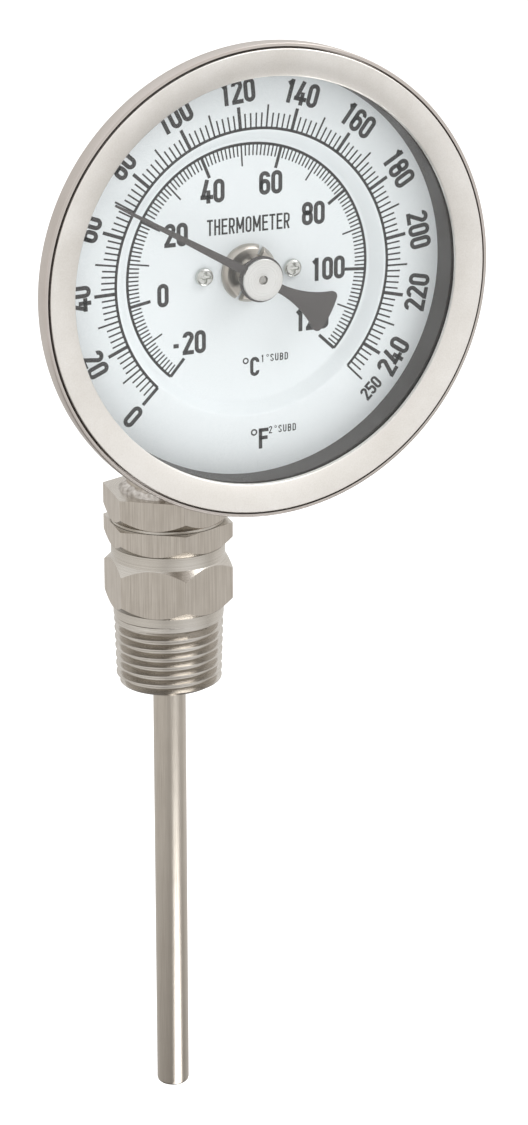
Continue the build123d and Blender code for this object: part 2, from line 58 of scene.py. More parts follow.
MM = 0.001
TURN_STEPS = 288  # columns of a turned piece, a whole number to each side of a hexagon
SHARP = math.radians(28.0)
TURN_FACETS = 3  # across a turned rounding
EDGE_FACETS = 2  # across any other
BUMP = 0.02 * MM  # depth of a finish's marks
SAME = 1e-3  # distance within which a vertex is on a named ring, mm

BMesh = bmesh.types.BMesh
BMEdge = bmesh.types.BMEdge
BMVert = bmesh.types.BMVert
Point = tuple[float, float]
Stops = Sequence[tuple[float, str]]  # values in rising order, each with its sRGB colour


# ================================================================ places and mesh tools
def box(node: str) -> tuple[Vector, Vector]:
    """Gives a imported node's box.

    Args:
        node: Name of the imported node.

    Returns:
        Its lowest and highest corners, mm.
    """
    low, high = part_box(node)
    return Vector(low) / MM, Vector(high) / MM


def on_dial_axis() -> Matrix:
    """Gives the turn and move that stand a flat drawing up on the dial's axis, facing the reader."""
    low, high = box("bezel_ring")
    return Matrix.Translation((0, 0, (low.z + high.z) / 2)) @ Matrix.Rotation(math.pi / 2, 4, "X")


def bevel_edges(bm: BMesh, edges: Sequence[BMEdge], width: float, segments: int) -> None:
    """Rounds edges.

    Args:
        bm: The mesh.
        edges: The edges to round.
        width: How far the rounding reaches from the edge, mm.
        segments: Facets across the rounding.
    """
    bmesh.ops.bevel(
        bm, geom=list(edges), offset=width, segments=segments, affect="EDGES", profile=0.5, material=-1,
        clamp_overlap=True,
    )


def is_on(vert: BMVert, ring: Point) -> bool:
    """Says whether a vertex lies on a ring about Z of a radius and height."""
    return abs(math.hypot(vert.co.x, vert.co.y) - ring[0]) < SAME and abs(vert.co.z - ring[1]) < SAME


def spun(
    bm: BMesh, geom: list, angle: float, steps: int, cent: Sequence[float] = (0, 0, 0),
    axis: Sequence[float] = (0, 0, 1), rise: float = 0.0, merge: bool = False,
) -> list:
    """Draws geometry round an axis.

    Args:
        bm: The mesh.
        geom: What is drawn round.
        angle: How far, radians.
        steps: Columns of the sweep.
        cent: A point on the axis.
        axis: The axis's direction.
        rise: How far each column stands above the one before, mm.
        merge: Whether a full turn closes on its start.

    Returns:
        The geometry that ends the sweep.
    """
    return bmesh.ops.spin(
        bm, geom=geom, cent=cent, axis=axis, dvec=(0, 0, rise), angle=angle, steps=steps, use_merge=merge,
        use_normal_flip=False, use_duplicate=False,
    )["geom_last"]


def turned(
    profile: Sequence[Point], rounded: Mapping[Point, float] | None = None, closed: bool = True
) -> BMesh:
    """Turns a section about Z.

    Args:
        profile: The section's corners, radius and height in mm.
        rounded: Corners to round and how far each rounding reaches.
        closed: Whether the last corner joins the first.

    Returns:
        The turned mesh.
    """
    bm = bmesh.new()
    corners = [bm.verts.new((radius, 0.0, height)) for radius, height in profile]
    sides = [bm.edges.new(pair) for pair in zip(corners, corners[1:])]
    if closed:
        sides.append(bm.edges.new((corners[-1], corners[0])))
    spun(bm, corners + sides, math.tau, TURN_STEPS, merge=True)
    bmesh.ops.remove_doubles(bm, verts=bm.verts, dist=1e-5)
    bmesh.ops.recalc_face_normals(bm, faces=bm.faces)
    for ring, width in (rounded or {}).items():
        bevel_edges(bm, [e for e in bm.edges if all(is_on(v, ring) for v in e.verts)], width, TURN_FACETS)
    return bm


def joined(parts: Sequence[BMesh]) -> BMesh:
    """Puts several meshes into one and frees them."""
    whole = bmesh.new()
    for part in parts:
        mesh = bpy.data.meshes.new("joined_part")
        part.to_mesh(mesh)
        part.free()
        whole.from_mesh(mesh)
        bpy.data.meshes.remove(mesh)
    return whole


def refined(node: str, edge: float) -> BMesh:
    """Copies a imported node's mesh, merges it and rounds its sharp edges.

    Args:
        node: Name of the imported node.
        edge: How far the rounding reaches, mm, or nothing for none.

    Returns:
        The mesh in mm.
    """
    bm = bmesh.new()
    bm.from_mesh(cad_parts[node].data)
    bm.transform(Matrix.Scale(1 / MM, 4))
    bmesh.ops.remove_doubles(bm, verts=bm.verts, dist=1e-4)
    bmesh.ops.dissolve_limit(
        bm, angle_limit=math.radians(0.3), use_dissolve_boundaries=False, verts=bm.verts, edges=bm.edges,
        delimit={"NORMAL"},
    )
    if edge:
        bevel_edges(bm, [e for e in bm.edges if e.calc_face_angle(0.0) > SHARP], edge, EDGE_FACETS)
    bmesh.ops.recalc_face_normals(bm, faces=bm.faces)
    return bm


def place(
    bm: BMesh, name: str, body: str, finishes: Sequence[bpy.types.Material],
    stands_for: Sequence[str] = (), where: Matrix = Matrix.Identity(4),
) -> bpy.types.Object:
    """Makes a finished piece of a mesh, at the origin with its place in its mesh.

    Args:
        bm: The mesh in mm, which is freed.
        name: The piece's name.
        body: The body it rides on.
        finishes: Its materials, in the order of the faces' material numbers.
        stands_for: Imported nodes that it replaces.
        where: Turn and move that put the mesh in place.

    Returns:
        The piece's object.
    """
    for edge in bm.edges:
        edge.smooth = edge.calc_face_angle(0.0) < SHARP
    for face in bm.faces:
        face.smooth = True
    bm.transform(Matrix.Scale(MM, 4) @ where)
    mesh = bpy.data.meshes.new(name)
    bm.to_mesh(mesh)
    bm.free()
    for finish in finishes:
        mesh.materials.append(finish)
    piece = bpy.data.objects.new(name, mesh)
    bpy.context.scene.collection.objects.link(piece)
    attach(piece, body)
    if stands_for:
        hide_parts(*stands_for)
    log.info("%s: %d faces, rides on %s", name, len(mesh.polygons), body)
    return piece


# ================================================================ finishes
def linear(colour: str) -> tuple[float, float, float, float]:
    """Turns an sRGB hex colour to linear light, with full opacity."""
    parts = [int(colour[i:i + 2], 16) / 255 for i in (1, 3, 5)]
    light = [p / 12.92 if p <= 0.04045 else ((p + 0.055) / 1.055) ** 2.4 for p in parts]
    return (light[0], light[1], light[2], 1.0)


def add_node(
    tree: bpy.types.NodeTree, kind: str, settings: Mapping[str, object] | None = None,
    inputs: Mapping[str | int, object] | None = None,
) -> bpy.types.Node:
    """Adds a node.

    Args:
        tree: The node tree.
        kind: The node's type.
        settings: Its properties.
        inputs: Its inputs, each a value or an output socket to link.

    Returns:
        The node.
    """
    node = tree.nodes.new(kind)
    for key, value in (settings or {}).items():
        setattr(node, key, value)
    for key, value in (inputs or {}).items():
        if isinstance(value, bpy.types.NodeSocket):
            tree.links.new(value, node.inputs[key])
        else:
            node.inputs[key].default_value = value
    return node


def new_material(name: str) -> tuple[bpy.types.Material, bpy.types.Node]:
    """Makes an empty node material and gives it with its Principled shader."""
    material = bpy.data.materials.new(name)
    material.use_nodes = True
    return material, material.node_tree.nodes["Principled BSDF"]


class Grain(Enum):
    """Which way a metal's tool marks run."""

    STEM = "rings about the stem"
    DIAL = "rings about the dial"
    LONG = "lines along the stem"
    EVEN = "no direction"


@dataclass(frozen=True)
class Metal:
    """A bare or plated metal with tool marks and a slight stain."""

    name: str
    light: str
    dark: str
    roughness: float
    grain: Grain
    grain_mm: float  # width of one tool mark
    relief: float  # strength of the tool marks' bump
    stain_mm: float = 6.0
    stain: float = 0.25
    stretch: float = 60.0  # a lengthwise mark's length beside its width
    shades: Point = (0.3, 0.7)  # noise levels of the darkest and the lightest metal
    gloss: Point = (1.2, 0.85)  # roughness at those levels, beside the metal's own

    def coordinates(self, tree: bpy.types.NodeTree) -> bpy.types.NodeSocket:
        """Gives the socket whose space the tool marks are drawn in, with one unit to a mark."""
        spot = add_node(tree, "ShaderNodeTexCoord").outputs["Object"]
        scale = 1 / (self.grain_mm * MM)
        if self.grain is Grain.EVEN:
            sizes = (scale, scale, scale)
            return add_node(tree, "ShaderNodeMapping", inputs={"Vector": spot, "Scale": sizes}).outputs[0]
        if self.grain is Grain.LONG:
            sizes = (scale, scale, scale / self.stretch)
            return add_node(tree, "ShaderNodeMapping", inputs={"Vector": spot, "Scale": sizes}).outputs[0]
        centre = (0.0, 0.0, 0.0)
        if self.grain is Grain.DIAL:
            centre = tuple(-c * MM for c in on_dial_axis().translation)
        moved = add_node(tree, "ShaderNodeMapping", inputs={"Vector": spot, "Location": centre}).outputs[0]
        split = add_node(tree, "ShaderNodeSeparateXYZ", inputs={0: moved}).outputs
        across, along = ("Z", "Y") if self.grain is Grain.DIAL else ("Y", "Z")
        flat = add_node(tree, "ShaderNodeCombineXYZ", inputs={0: split["X"], 1: split[across]}).outputs[0]
        radius = add_node(tree, "ShaderNodeVectorMath", {"operation": "LENGTH"}, {0: flat}).outputs["Value"]
        ring = add_node(tree, "ShaderNodeCombineXYZ", inputs={0: radius, 1: split[along]}).outputs[0]
        return add_node(
            tree, "ShaderNodeVectorMath", {"operation": "SCALE"}, {0: ring, "Scale": scale}
        ).outputs["Vector"]

    def build(self) -> bpy.types.Material:
        """Makes the material."""
        material, shader = new_material(self.name)
        tree = material.node_tree
        marks = add_node(
            tree, "ShaderNodeTexNoise", inputs={"Vector": self.coordinates(tree), "Scale": 1.0, "Detail": 3.0}
        ).outputs["Fac"]
        spot = add_node(tree, "ShaderNodeTexCoord").outputs["Object"]
        stain = add_node(
            tree, "ShaderNodeTexNoise",
            inputs={"Vector": spot, "Scale": 1 / (self.stain_mm * MM), "Detail": 5.0, "Roughness": 0.65},
        ).outputs["Fac"]
        mixed = add_node(
            tree, "ShaderNodeMix", {"data_type": "FLOAT"}, {"Factor": self.stain, "A": marks, "B": stain}
        ).outputs["Result"]
        dim, bright = self.shades
        shade = add_node(
            tree, "ShaderNodeMapRange", inputs={0: mixed, 1: dim, 2: bright, 3: 0.0, 4: 1.0}
        ).outputs[0]
        colour = add_node(
            tree, "ShaderNodeMix", {"data_type": "RGBA"},
            {"Factor": shade, "A": linear(self.dark), "B": linear(self.light)},
        )
        tree.links.new(colour.outputs["Result"], shader.inputs["Base Color"])
        rough = add_node(
            tree, "ShaderNodeMapRange",
            inputs={
                0: mixed, 1: dim, 2: bright, 3: self.roughness * self.gloss[0],
                4: self.roughness * self.gloss[1],
            },
        ).outputs[0]
        tree.links.new(rough, shader.inputs["Roughness"])
        bump = add_node(
            tree, "ShaderNodeBump", inputs={"Strength": self.relief, "Distance": BUMP, "Height": marks}
        ).outputs[0]
        tree.links.new(bump, shader.inputs["Normal"])
        shader.inputs["Metallic"].default_value = 1.0
        return material


@dataclass(frozen=True)
class Coating:
    """A paint, plastic, rubber or ink: a dull skin with a fine grain."""

    name: str
    light: str
    dark: str
    roughness: float
    grain_mm: float
    relief: float
    ior: float = 1.5
    shades: Point = (0.35, 0.65)  # noise levels of the darkest and the lightest paint

    def build(self) -> bpy.types.Material:
        """Makes the material."""
        material, shader = new_material(self.name)
        tree = material.node_tree
        spot = add_node(tree, "ShaderNodeTexCoord").outputs["Object"]
        speck = add_node(
            tree, "ShaderNodeTexNoise",
            inputs={"Vector": spot, "Scale": 1 / (self.grain_mm * MM), "Detail": 4.0, "Roughness": 0.6},
        ).outputs["Fac"]
        dim, bright = self.shades
        shade = add_node(tree, "ShaderNodeMapRange", inputs={0: speck, 1: dim, 2: bright}).outputs[0]
        colour = add_node(
            tree, "ShaderNodeMix", {"data_type": "RGBA"},
            {"Factor": shade, "A": linear(self.dark), "B": linear(self.light)},
        )
        tree.links.new(colour.outputs["Result"], shader.inputs["Base Color"])
        bump = add_node(
            tree, "ShaderNodeBump", inputs={"Strength": self.relief, "Distance": BUMP, "Height": speck}
        ).outputs[0]
        tree.links.new(bump, shader.inputs["Normal"])
        shader.inputs["Roughness"].default_value = self.roughness
        shader.inputs["IOR"].default_value = self.ior
        return material


@dataclass(frozen=True)
class WindowGlass:
    """Clear flat instrument glass: all that shows of it is a faint gloss."""

    name: str = "clear_instrument_glass"
    opacity: float = 0.025
    roughness: float = 0.02

    def build(self) -> bpy.types.Material:
        """Makes the material."""
        material, shader = new_material(self.name)
        shader.inputs["Base Color"].default_value = linear("#F4F8F8")
        shader.inputs["Roughness"].default_value = self.roughness
        shader.inputs["Alpha"].default_value = self.opacity
        shader.inputs["IOR"].default_value = 1.52
        return material


class Finishes:
    """Every finish of the thermometer, made once."""

    def __init__(self) -> None:
        """Makes the materials."""
        # Milled flats of 304 bar: dull grey with fine upright cutter lines, drawn twice as wide as they are.
        self.milled = Metal("stainless_304_milled", "#DAD3CA", "#B9B1A7", 0.42, Grain.LONG, 0.16, 0.4).build()
        # Turned faces of the same bar: smoother, with fine rings left by the lathe.
        self.turned = Metal("stainless_304_turned", "#D6D1CA", "#BAB4AB", 0.26, Grain.STEM, 0.12, 0.4).build()
        # Threads cut in the bar: brightest and smoothest, with fine rings from the die.
        self.threaded = Metal(
            "stainless_304_thread_cut", "#E2DED8", "#B4AEA6", 0.24, Grain.STEM, 0.1, 0.3
        ).build()
        # Drawn tube: an even grey sheen with lengthwise draw lines.
        self.drawn = Metal("stainless_304_drawn", "#CFC8BE", "#BCB4AA", 0.33, Grain.LONG, 0.14, 0.3).build()
        # Pressed sheet, blasted and lightly brushed: pale, nearly matte, with a cloudy stain.
        self.pressed = Metal(
            "stainless_304_pressed", "#FAF7F3", "#EAE6E0", 0.42, Grain.EVEN, 0.25, 0.35, 9.0, 0.6
        ).build()
        # Side of the rim: the same sheet, painted greyer than the bezel's face as shade on the rim's side.
        self.rim = Metal(
            "stainless_304_rim_painted_shade", "#D8D1CC", "#C4BCB5", 0.33, Grain.DIAL, 0.15, 0.3
        ).build()
        # Raw weld: heaped, with a dark heat tint between bright ripples.
        self.weld = Metal(
            "stainless_weld_raw", "#E6E1DB", "#8A827A", 0.3, Grain.EVEN, 0.7, 0.8, 2.0, 0.5
        ).build()
        # Nickel on a small steel screw: bright and smooth.
        self.screw = Metal("nickel_plated_steel", "#E2E3DF", "#C6C7C3", 0.22, Grain.EVEN, 0.2, 0.2).build()
        # Nickel on brass: warm grey with fine rings.
        self.bushing = Metal("nickel_plated_brass", "#D3CEC6", "#A8A198", 0.3, Grain.DIAL, 0.12, 0.4).build()
        # Turned aluminium: very pale with fine rings.
        self.hub = Metal("aluminium_turned", "#F3F3F1", "#D9D8D5", 0.25, Grain.DIAL, 0.1, 0.4).build()
        # Sintered bronze: dull yellow brown, speckled by its pores.
        self.bronze = Metal("bronze_sintered", "#B88D57", "#7E5E38", 0.42, Grain.EVEN, 0.15, 0.5).build()
        # Rolled bimetal strip: a slightly straw-tinted grey.
        self.bimetal = Metal("bimetal_strip_rolled", "#B5AFA2", "#8E887B", 0.3, Grain.LONG, 0.2, 0.3).build()
        # Ground wire: smooth and grey.
        self.wire = Metal("stainless_wire_ground", "#BDBBB7", "#9A9894", 0.22, Grain.EVEN, 0.2, 0.2).build()
        # Baked enamel on aluminium: cold white and matte, with a fine orange peel.
        self.enamel = Coating("enamel_white_baked", "#E4E9EB", "#DDE3E5", 0.6, 0.35, 0.25).build()
        # Screen printed ink: flat and nearly black.
        self.ink = Coating("ink_screen_printed", "#3C3A3A", "#343232", 0.75, 0.2, 0.1).build()
        # Pointer enamel: matte brown grey.
        self.pointer = Coating("enamel_grey_sprayed", "#504C4B", "#464241", 0.6, 0.3, 0.25).build()
        # Spacer behind the glass: steel strip in flat grey paint.
        self.spacer = Coating("steel_strip_grey_painted", "#54514F", "#464341", 0.5, 0.5, 0.2).build()
        # Nitrile: black and dull.
        self.rubber = Coating("rubber_nitrile_moulded", "#2A2928", "#1E1D1D", 0.65, 0.3, 0.3, 1.52).build()
        # PTFE: waxy white.
        self.plastic = Coating("ptfe_turned", "#EDEBE6", "#DFDCD6", 0.4, 0.3, 0.2, 1.38).build()
        self.glass = WindowGlass().build()


# ================================================================ pipe connection
@dataclass
class HexBar:
    """Hexagonal bar stock of the fitting, the nut and the neck."""

    corner: float = 23.0  # direction of a corner, degrees from +X
    face_inset: float = 0.1  # turned faces inside the flats
    corner_edge: float = 0.14  # rounding of the upright corners
    tilt: float = 0.1  # a face leaning more than this is turned and not milled
    across: float = field(init=False)

    def __post_init__(self) -> None:
        """Works out the width across the flats from the fitting's box."""
        low, high = box("process_fitting")
        lean = min(abs((self.corner + 60 * k) % 360 - 360 * (k > 4)) for k in range(6))
        self.across = (high.x - low.x) * math.sqrt(3) / 2 / math.cos(math.radians(lean))

    @property
    def radius(self) -> float:
        """Radius of the corners."""
        return self.across / math.sqrt(3)

    @property
    def face(self) -> float:
        """Radius of the turned faces."""
        return self.across / 2 - self.face_inset

    def flat_angle(self, vert: BMVert) -> float:
        """Gives a vertex's angle from the middle of its flat, with a corner at angle nought."""
        angle = math.atan2(vert.co.y, vert.co.x)
        return (angle % math.radians(60)) - math.radians(30)

    def square_off(self, bm: BMesh, low: float, high: float, cuts: tuple[bool, bool]) -> None:
        """Draws the rings of corner radius in to the flats, turns the corner and marks the flats.

        Args:
            bm: A turned mesh with rings of corner radius.
            low: Height of the hexagon's underside.
            high: Height of its top.
            cuts: Whether the lower and the upper corners are chamfered.
        """
        for vert in bm.verts:
            if math.hypot(vert.co.x, vert.co.y) < self.radius - SAME:
                continue
            radius = self.across / 2 / math.cos(self.flat_angle(vert))
            drop = radius - self.face
            upper = vert.co.z > (low + high) / 2
            if cuts[int(upper)]:
                vert.co.z = high - drop if upper else low + drop
            vert.co.xy *= radius / math.hypot(vert.co.x, vert.co.y)
        limit = math.radians(30) - SAME
        corners = [
            e for e in bm.edges
            if all(
                abs(self.flat_angle(v)) > limit and abs(math.hypot(v.co.x, v.co.y) - self.radius) < SAME
                for v in e.verts
            )
        ]
        bevel_edges(bm, corners, self.corner_edge, EDGE_FACETS)
        bm.normal_update()
        for face in bm.faces:
            middle = face.calc_center_median()
            outside = math.hypot(middle.x, middle.y) > self.face - SAME
            face.material_index = int(abs(face.normal.z) > self.tilt or not outside)
        bmesh.ops.rotate(bm, verts=bm.verts, matrix=Matrix.Rotation(math.radians(self.corner), 3, "Z"))

    def rings(self, low: float, high: float, cuts: tuple[bool, bool]) -> list[Point]:
        """Gives the section's points up a hexagon, from its underside to its top."""
        drop = self.radius - self.face
        bottom = [(self.face, low), (self.radius, low + drop)] if cuts[0] else [(self.radius, low)]
        top = [(self.radius, high - drop), (self.face, high)] if cuts[1] else [(self.radius, high)]
        return bottom + top


@dataclass
class PipeThread:
    """Tapered pipe thread, cut as a true right-handed helix."""

    radius: float = 10.62  # crests at the large end, just inside the plain collar
    pitch: float = 1.8143
    depth: float = 1.3
    taper: float = 1 / 32
    crest: float = 0.3  # flat on crest and root
    top: float = -1.8
    lead: float = 1.25  # chamfer that leads the thread in
    steps: int = 120  # columns to a turn

    def build(self, low: float) -> BMesh:
        """Cuts the thread.

        Args:
            low: Height of the thread's end face.

        Returns:
            An open sleeve of thread between its end face and the plain collar.
        """
        bm = bmesh.new()
        half = self.pitch / 2
        root = self.radius - self.depth
        section = [
            (self.radius, 0.0), (self.radius, self.crest), (root, half), (root, half + self.crest),
            (self.radius, self.pitch),
        ]
        corners = [bm.verts.new((r, 0.0, z)) for r, z in section]
        sides = [bm.edges.new(pair) for pair in zip(corners, corners[1:])]
        turns = math.ceil((self.top - low) / self.pitch) + 2
        spun(bm, corners + sides, math.tau * turns, self.steps * turns, rise=self.pitch / self.steps)
        bmesh.ops.remove_doubles(bm, verts=bm.verts, dist=1e-3)
        bmesh.ops.translate(bm, verts=bm.verts, vec=(0, 0, low - 1.5 * self.pitch))
        for vert in bm.verts:
            radius = math.hypot(vert.co.x, vert.co.y)
            height = vert.co.z
            deep = (self.radius - radius) * min(1.0, max(0.0, (self.top - height) / self.pitch))
            shaped = self.radius - deep + (min(height, self.top) - self.top) * self.taper
            shaped = min(shaped, self.radius - self.lead + max(0.0, height - low))
            vert.co.xy *= shaped / radius
        for height, side in ((low, -1), (self.top, 1)):
            bmesh.ops.bisect_plane(
                bm, geom=bm.verts[:] + bm.edges[:] + bm.faces[:], dist=1e-5, plane_co=(0, 0, height),
                plane_no=(0, 0, side), clear_outer=True, clear_inner=False,
            )
        return bm


@dataclass
class PipeConnection:
    """Process fitting, union nut, neck and their seals."""

    finishes: Finishes
    bar: HexBar
    thread: PipeThread
    clear: float = 0.05  # bore round the stem
    hex_height: float = 9.65
    spigot_inset: float = 2.0  # spigot inside the turned faces
    seal_depth: float = 3.0
    round_edge: float = 0.15
    gap: float = 0.06  # between fitting and nut, along the axis
    plain_step: float = 0.05  # plain collar outside the thread
    face_step: float = 0.02  # collar set back from the hexagon's face, along and across
    lip: float = 1.3  # nut's lip over the sleeve's flange
    flange: float = 2.2  # sleeve's flange, radially
    neck_face: float = 0.5  # round face under the neck's hexagon
    neck_step: float = 0.1  # that face inside the turned faces
    weld_leg: float = 1.5

    def bridge(self, bm: BMesh, height: float) -> None:
        """Joins two open loops.

        Args:
            bm: The mesh.
            height: Height that both loops lie at.
        """
        loops = [
            e for e in bm.edges if e.is_boundary and all(abs(v.co.z - height) < SAME for v in e.verts)
        ]
        bmesh.ops.bridge_loops(bm, edges=loops)

    def build_fitting(self) -> None:
        """Makes the process fitting with its helical thread."""
        low, high = box("process_fitting")
        seal = box("stem_seal")[1].x
        bore = box("stem_tube")[1].x + self.clear
        bar = self.bar
        collar = box("union_nut")[0].z - self.gap
        rim = bar.face - self.face_step
        plain = self.thread.radius + self.plain_step
        spigot = bar.face - self.spigot_inset
        rings = bar.rings(0.0, self.hex_height, (True, True))
        profile = [
            (plain, self.thread.top), (plain, 0.0), *rings, (rim, self.hex_height + self.face_step),
            (rim, collar), (spigot, collar), (spigot, high.z), (seal, high.z),
            (seal, high.z - self.seal_depth), (bore, high.z - self.seal_depth), (bore, low.z),
        ]
        body = turned(profile, {(rim, collar): self.round_edge}, closed=False)
        bar.square_off(body, 0.0, self.hex_height, (True, True))
        cut = self.thread.build(low.z)
        for face in cut.faces:
            face.material_index = 2
        whole = joined([body, cut])
        self.bridge(whole, self.thread.top)
        self.bridge(whole, low.z)
        bmesh.ops.recalc_face_normals(whole, faces=whole.faces)
        finishes = [self.finishes.milled, self.finishes.turned, self.finishes.threaded]
        place(whole, "process_fitting_body", "fitting", finishes, ["process_fitting"])

    def build_nut(self) -> None:
        """Makes the union nut."""
        low, high = box("union_nut")
        bar = self.bar
        chamber = bar.face - self.spigot_inset + self.clear
        throat = self.sleeve_radius() + self.clear
        lip = high.z - self.lip
        profile = [
            *bar.rings(low.z, high.z, (True, False)), (throat, high.z), (throat, lip), (chamber, lip),
            (chamber, low.z),
        ]
        body = turned(profile)
        bar.square_off(body, low.z, high.z, (True, False))
        finishes = [self.finishes.milled, self.finishes.turned]
        place(body, "union_nut_body", "nut", finishes, ["union_nut"])

    def sleeve_radius(self) -> float:
        """Radius of the swivel sleeve's barrel inside the neck."""
        return box("swivel_sleeve")[1].x - self.flange

    def build_neck(self) -> None:
        """Makes the neck's hexagon."""
        low, high = box("neck_hex")
        bar = self.bar
        face = bar.face - self.neck_step
        face_top = low.z + self.neck_face
        seat = box("elbow_tube")[0].z
        tube = box("neck_weld")[1].x - self.weld_leg
        profile = [
            (face, low.z), (face, face_top), *bar.rings(face_top, high.z, (True, False)),
            (tube, high.z), (tube, seat), (self.sleeve_radius(), seat), (self.sleeve_radius(), low.z),
        ]
        body = turned(profile)
        bar.square_off(body, face_top, high.z, (True, False))
        finishes = [self.finishes.milled, self.finishes.turned]
        place(body, "neck_hexagon", "head", finishes, ["neck_hex"])

    def dress(self) -> None:
        """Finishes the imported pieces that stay."""
        dress_nodes({
            "stem_seal": self.finishes.rubber, "thrust_washer": self.finishes.plastic,
            "swivel_sleeve": self.finishes.turned,
        })


def dress_nodes(finishes: Mapping[str, bpy.types.Material]) -> None:
    """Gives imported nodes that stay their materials."""
    for node, finish in finishes.items():
        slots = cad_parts[node].data.materials
        slots.clear()
        slots.append(finish)
        log.info("%s: finished in %s", node, finish.name)


# ================================================================ stem, elbow and welds
@dataclass
class StemAndElbow:
    """Stem tube, elbow and the two weld beads."""

    finishes: Finishes
    tip_edge: float = 0.9
    stem_wall: float = 0.5
    bend: float = 18.0
    elbow_wall: float = 1.25
    weld_leg: float = 1.5
    ripple: float = 2.4  # one weld ripple to the next
    ripple_depth: float = 0.1  # hollow between ripples, as a share of the bead
    lump_depth: float = 0.28  # hollow between lumps, as a share of the bead
    lump_pitch: float = 7.0  # lumps' fineness, in noise cells to a tube's radius
    lump_level: float = 0.5  # noise above this is left at the bead's full size
    wander: float = 3.0  # how far the lumps push the ripples aside, radians
    crown_reach: float = 0.97  # bead's size as a share of the weld's leg
    crown_power: float = 0.8  # under 1 bulges the bead's section
    crown_steps: int = 7
    root: float = 0.2  # bead's depth into the tube
    still: float = 0.05  # vertices this near the tube or the foot stay where they are
    ring_steps: int = 96
    bend_steps: int = 64

    def build_stem(self) -> None:
        """Makes the stem with its rounded end."""
        low, high = box("stem_tube")
        radius = high.x
        bore = radius - self.stem_wall
        corner = (radius, low.z)
        floor = low.z + self.stem_wall
        profile = [(0.0, low.z), corner, (radius, high.z), (bore, high.z), (bore, floor), (0.0, floor)]
        bm = turned(profile, {corner: self.tip_edge}, closed=False)
        place(bm, "stem", "head", [self.finishes.drawn], ["stem_tube"])

    def build_elbow(self) -> None:
        """Makes the elbow: a ring of tube drawn up, round the bend and forward to the case."""
        low, high = box("elbow_tube")
        radius = high.x
        axis_z = on_dial_axis().translation.z
        rise = axis_z - self.bend - low.z
        run = -low.y - self.bend
        bm = bmesh.new()
        for size in (radius, radius - self.elbow_wall):
            bmesh.ops.create_circle(bm, segments=self.ring_steps, radius=size, cap_ends=False)
        bmesh.ops.translate(bm, verts=bm.verts, vec=(0, 0, low.z))
        start = bm.edges[:]
        ends = self.drawn_on(bm, start, Vector((0, 0, rise)))
        heart = (0, -self.bend, axis_z - self.bend)
        swept = spun(bm, ends, math.pi / 2, self.bend_steps, heart, (1, 0, 0))
        ends = [g for g in swept if isinstance(g, BMEdge)]
        ends = self.drawn_on(bm, ends, Vector((0, -run, 0)))
        for rim in (start, ends):
            bmesh.ops.bridge_loops(bm, edges=[e for e in rim if isinstance(e, BMEdge)])
        bmesh.ops.recalc_face_normals(bm, faces=bm.faces)
        place(bm, "elbow", "head", [self.finishes.drawn], ["elbow_tube"])

    def drawn_on(self, bm: BMesh, rim: list, way: Vector) -> list:
        """Draws open rims on along a straight line.

        Args:
            bm: The mesh.
            rim: The rims' edges.
            way: Where they are drawn to, from where they are.

        Returns:
            The edges of the new rims.
        """
        edges = [e for e in rim if isinstance(e, BMEdge)]
        grown = bmesh.ops.extrude_edge_only(bm, edges=edges)["geom"]
        verts = [g for g in grown if isinstance(g, BMVert)]
        bmesh.ops.translate(bm, verts=verts, vec=way)
        fresh = set(verts)
        return [e for e in bm.edges if all(v in fresh for v in e.verts)]

    def weld_bead(self, radius: float, seed: float) -> BMesh:
        """Makes a weld bead round a tube, heaped in overlapping ripples.

        Args:
            radius: The tube's radius.
            seed: Where in the noise the bead's lumps are taken from.

        Returns:
            The bead, with its foot at height nought.
        """
        reach = self.weld_leg * self.crown_reach
        leans = [k / self.crown_steps * math.pi / 2 for k in range(self.crown_steps + 1)]
        crown = [
            (radius + reach * math.cos(t) ** self.crown_power, reach * math.sin(t) ** self.crown_power)
            for t in leans
        ]
        bm = turned([(radius - self.root, 0.0), *crown, (radius - self.root, reach)])
        ripples = round(math.tau * radius / self.ripple)
        for vert in bm.verts:
            outward = math.hypot(vert.co.x, vert.co.y) - radius
            if outward < self.still or vert.co.z < self.still:
                continue
            angle = math.atan2(vert.co.y, vert.co.x)
            round_it = Vector((math.cos(angle), math.sin(angle), 0)) * self.lump_pitch
            lump = noise.noise(round_it + Vector((seed, 0, vert.co.z)))
            wave = abs(math.sin(angle * ripples / 2 + vert.co.z + self.wander * lump))
            hollow = self.lump_depth * max(0.0, self.lump_level - lump)
            shrink = 1 - self.ripple_depth * (1 - wave) - hollow
            vert.co.xy *= (radius + outward * shrink) / (radius + outward)
            vert.co.z *= shrink
        return bm

    def build_welds(self) -> None:
        """Makes the beads at the neck and at the case."""
        low, high = box("neck_weld")
        bead = self.weld_bead(high.x - self.weld_leg, 0.0)
        foot = Matrix.Translation((0, 0, low.z))
        place(bead, "neck_weld_bead", "head", [self.finishes.weld], ["neck_weld"], foot)
        low, high = box("case_weld")
        behind = on_dial_axis() @ Matrix.Translation((0, 0, -low.y)) @ Matrix.Rotation(math.pi, 4, "X")
        bead = self.weld_bead(high.x - self.weld_leg, 3.0)
        place(bead, "case_weld_bead", "head", [self.finishes.weld], ["case_weld"], behind)


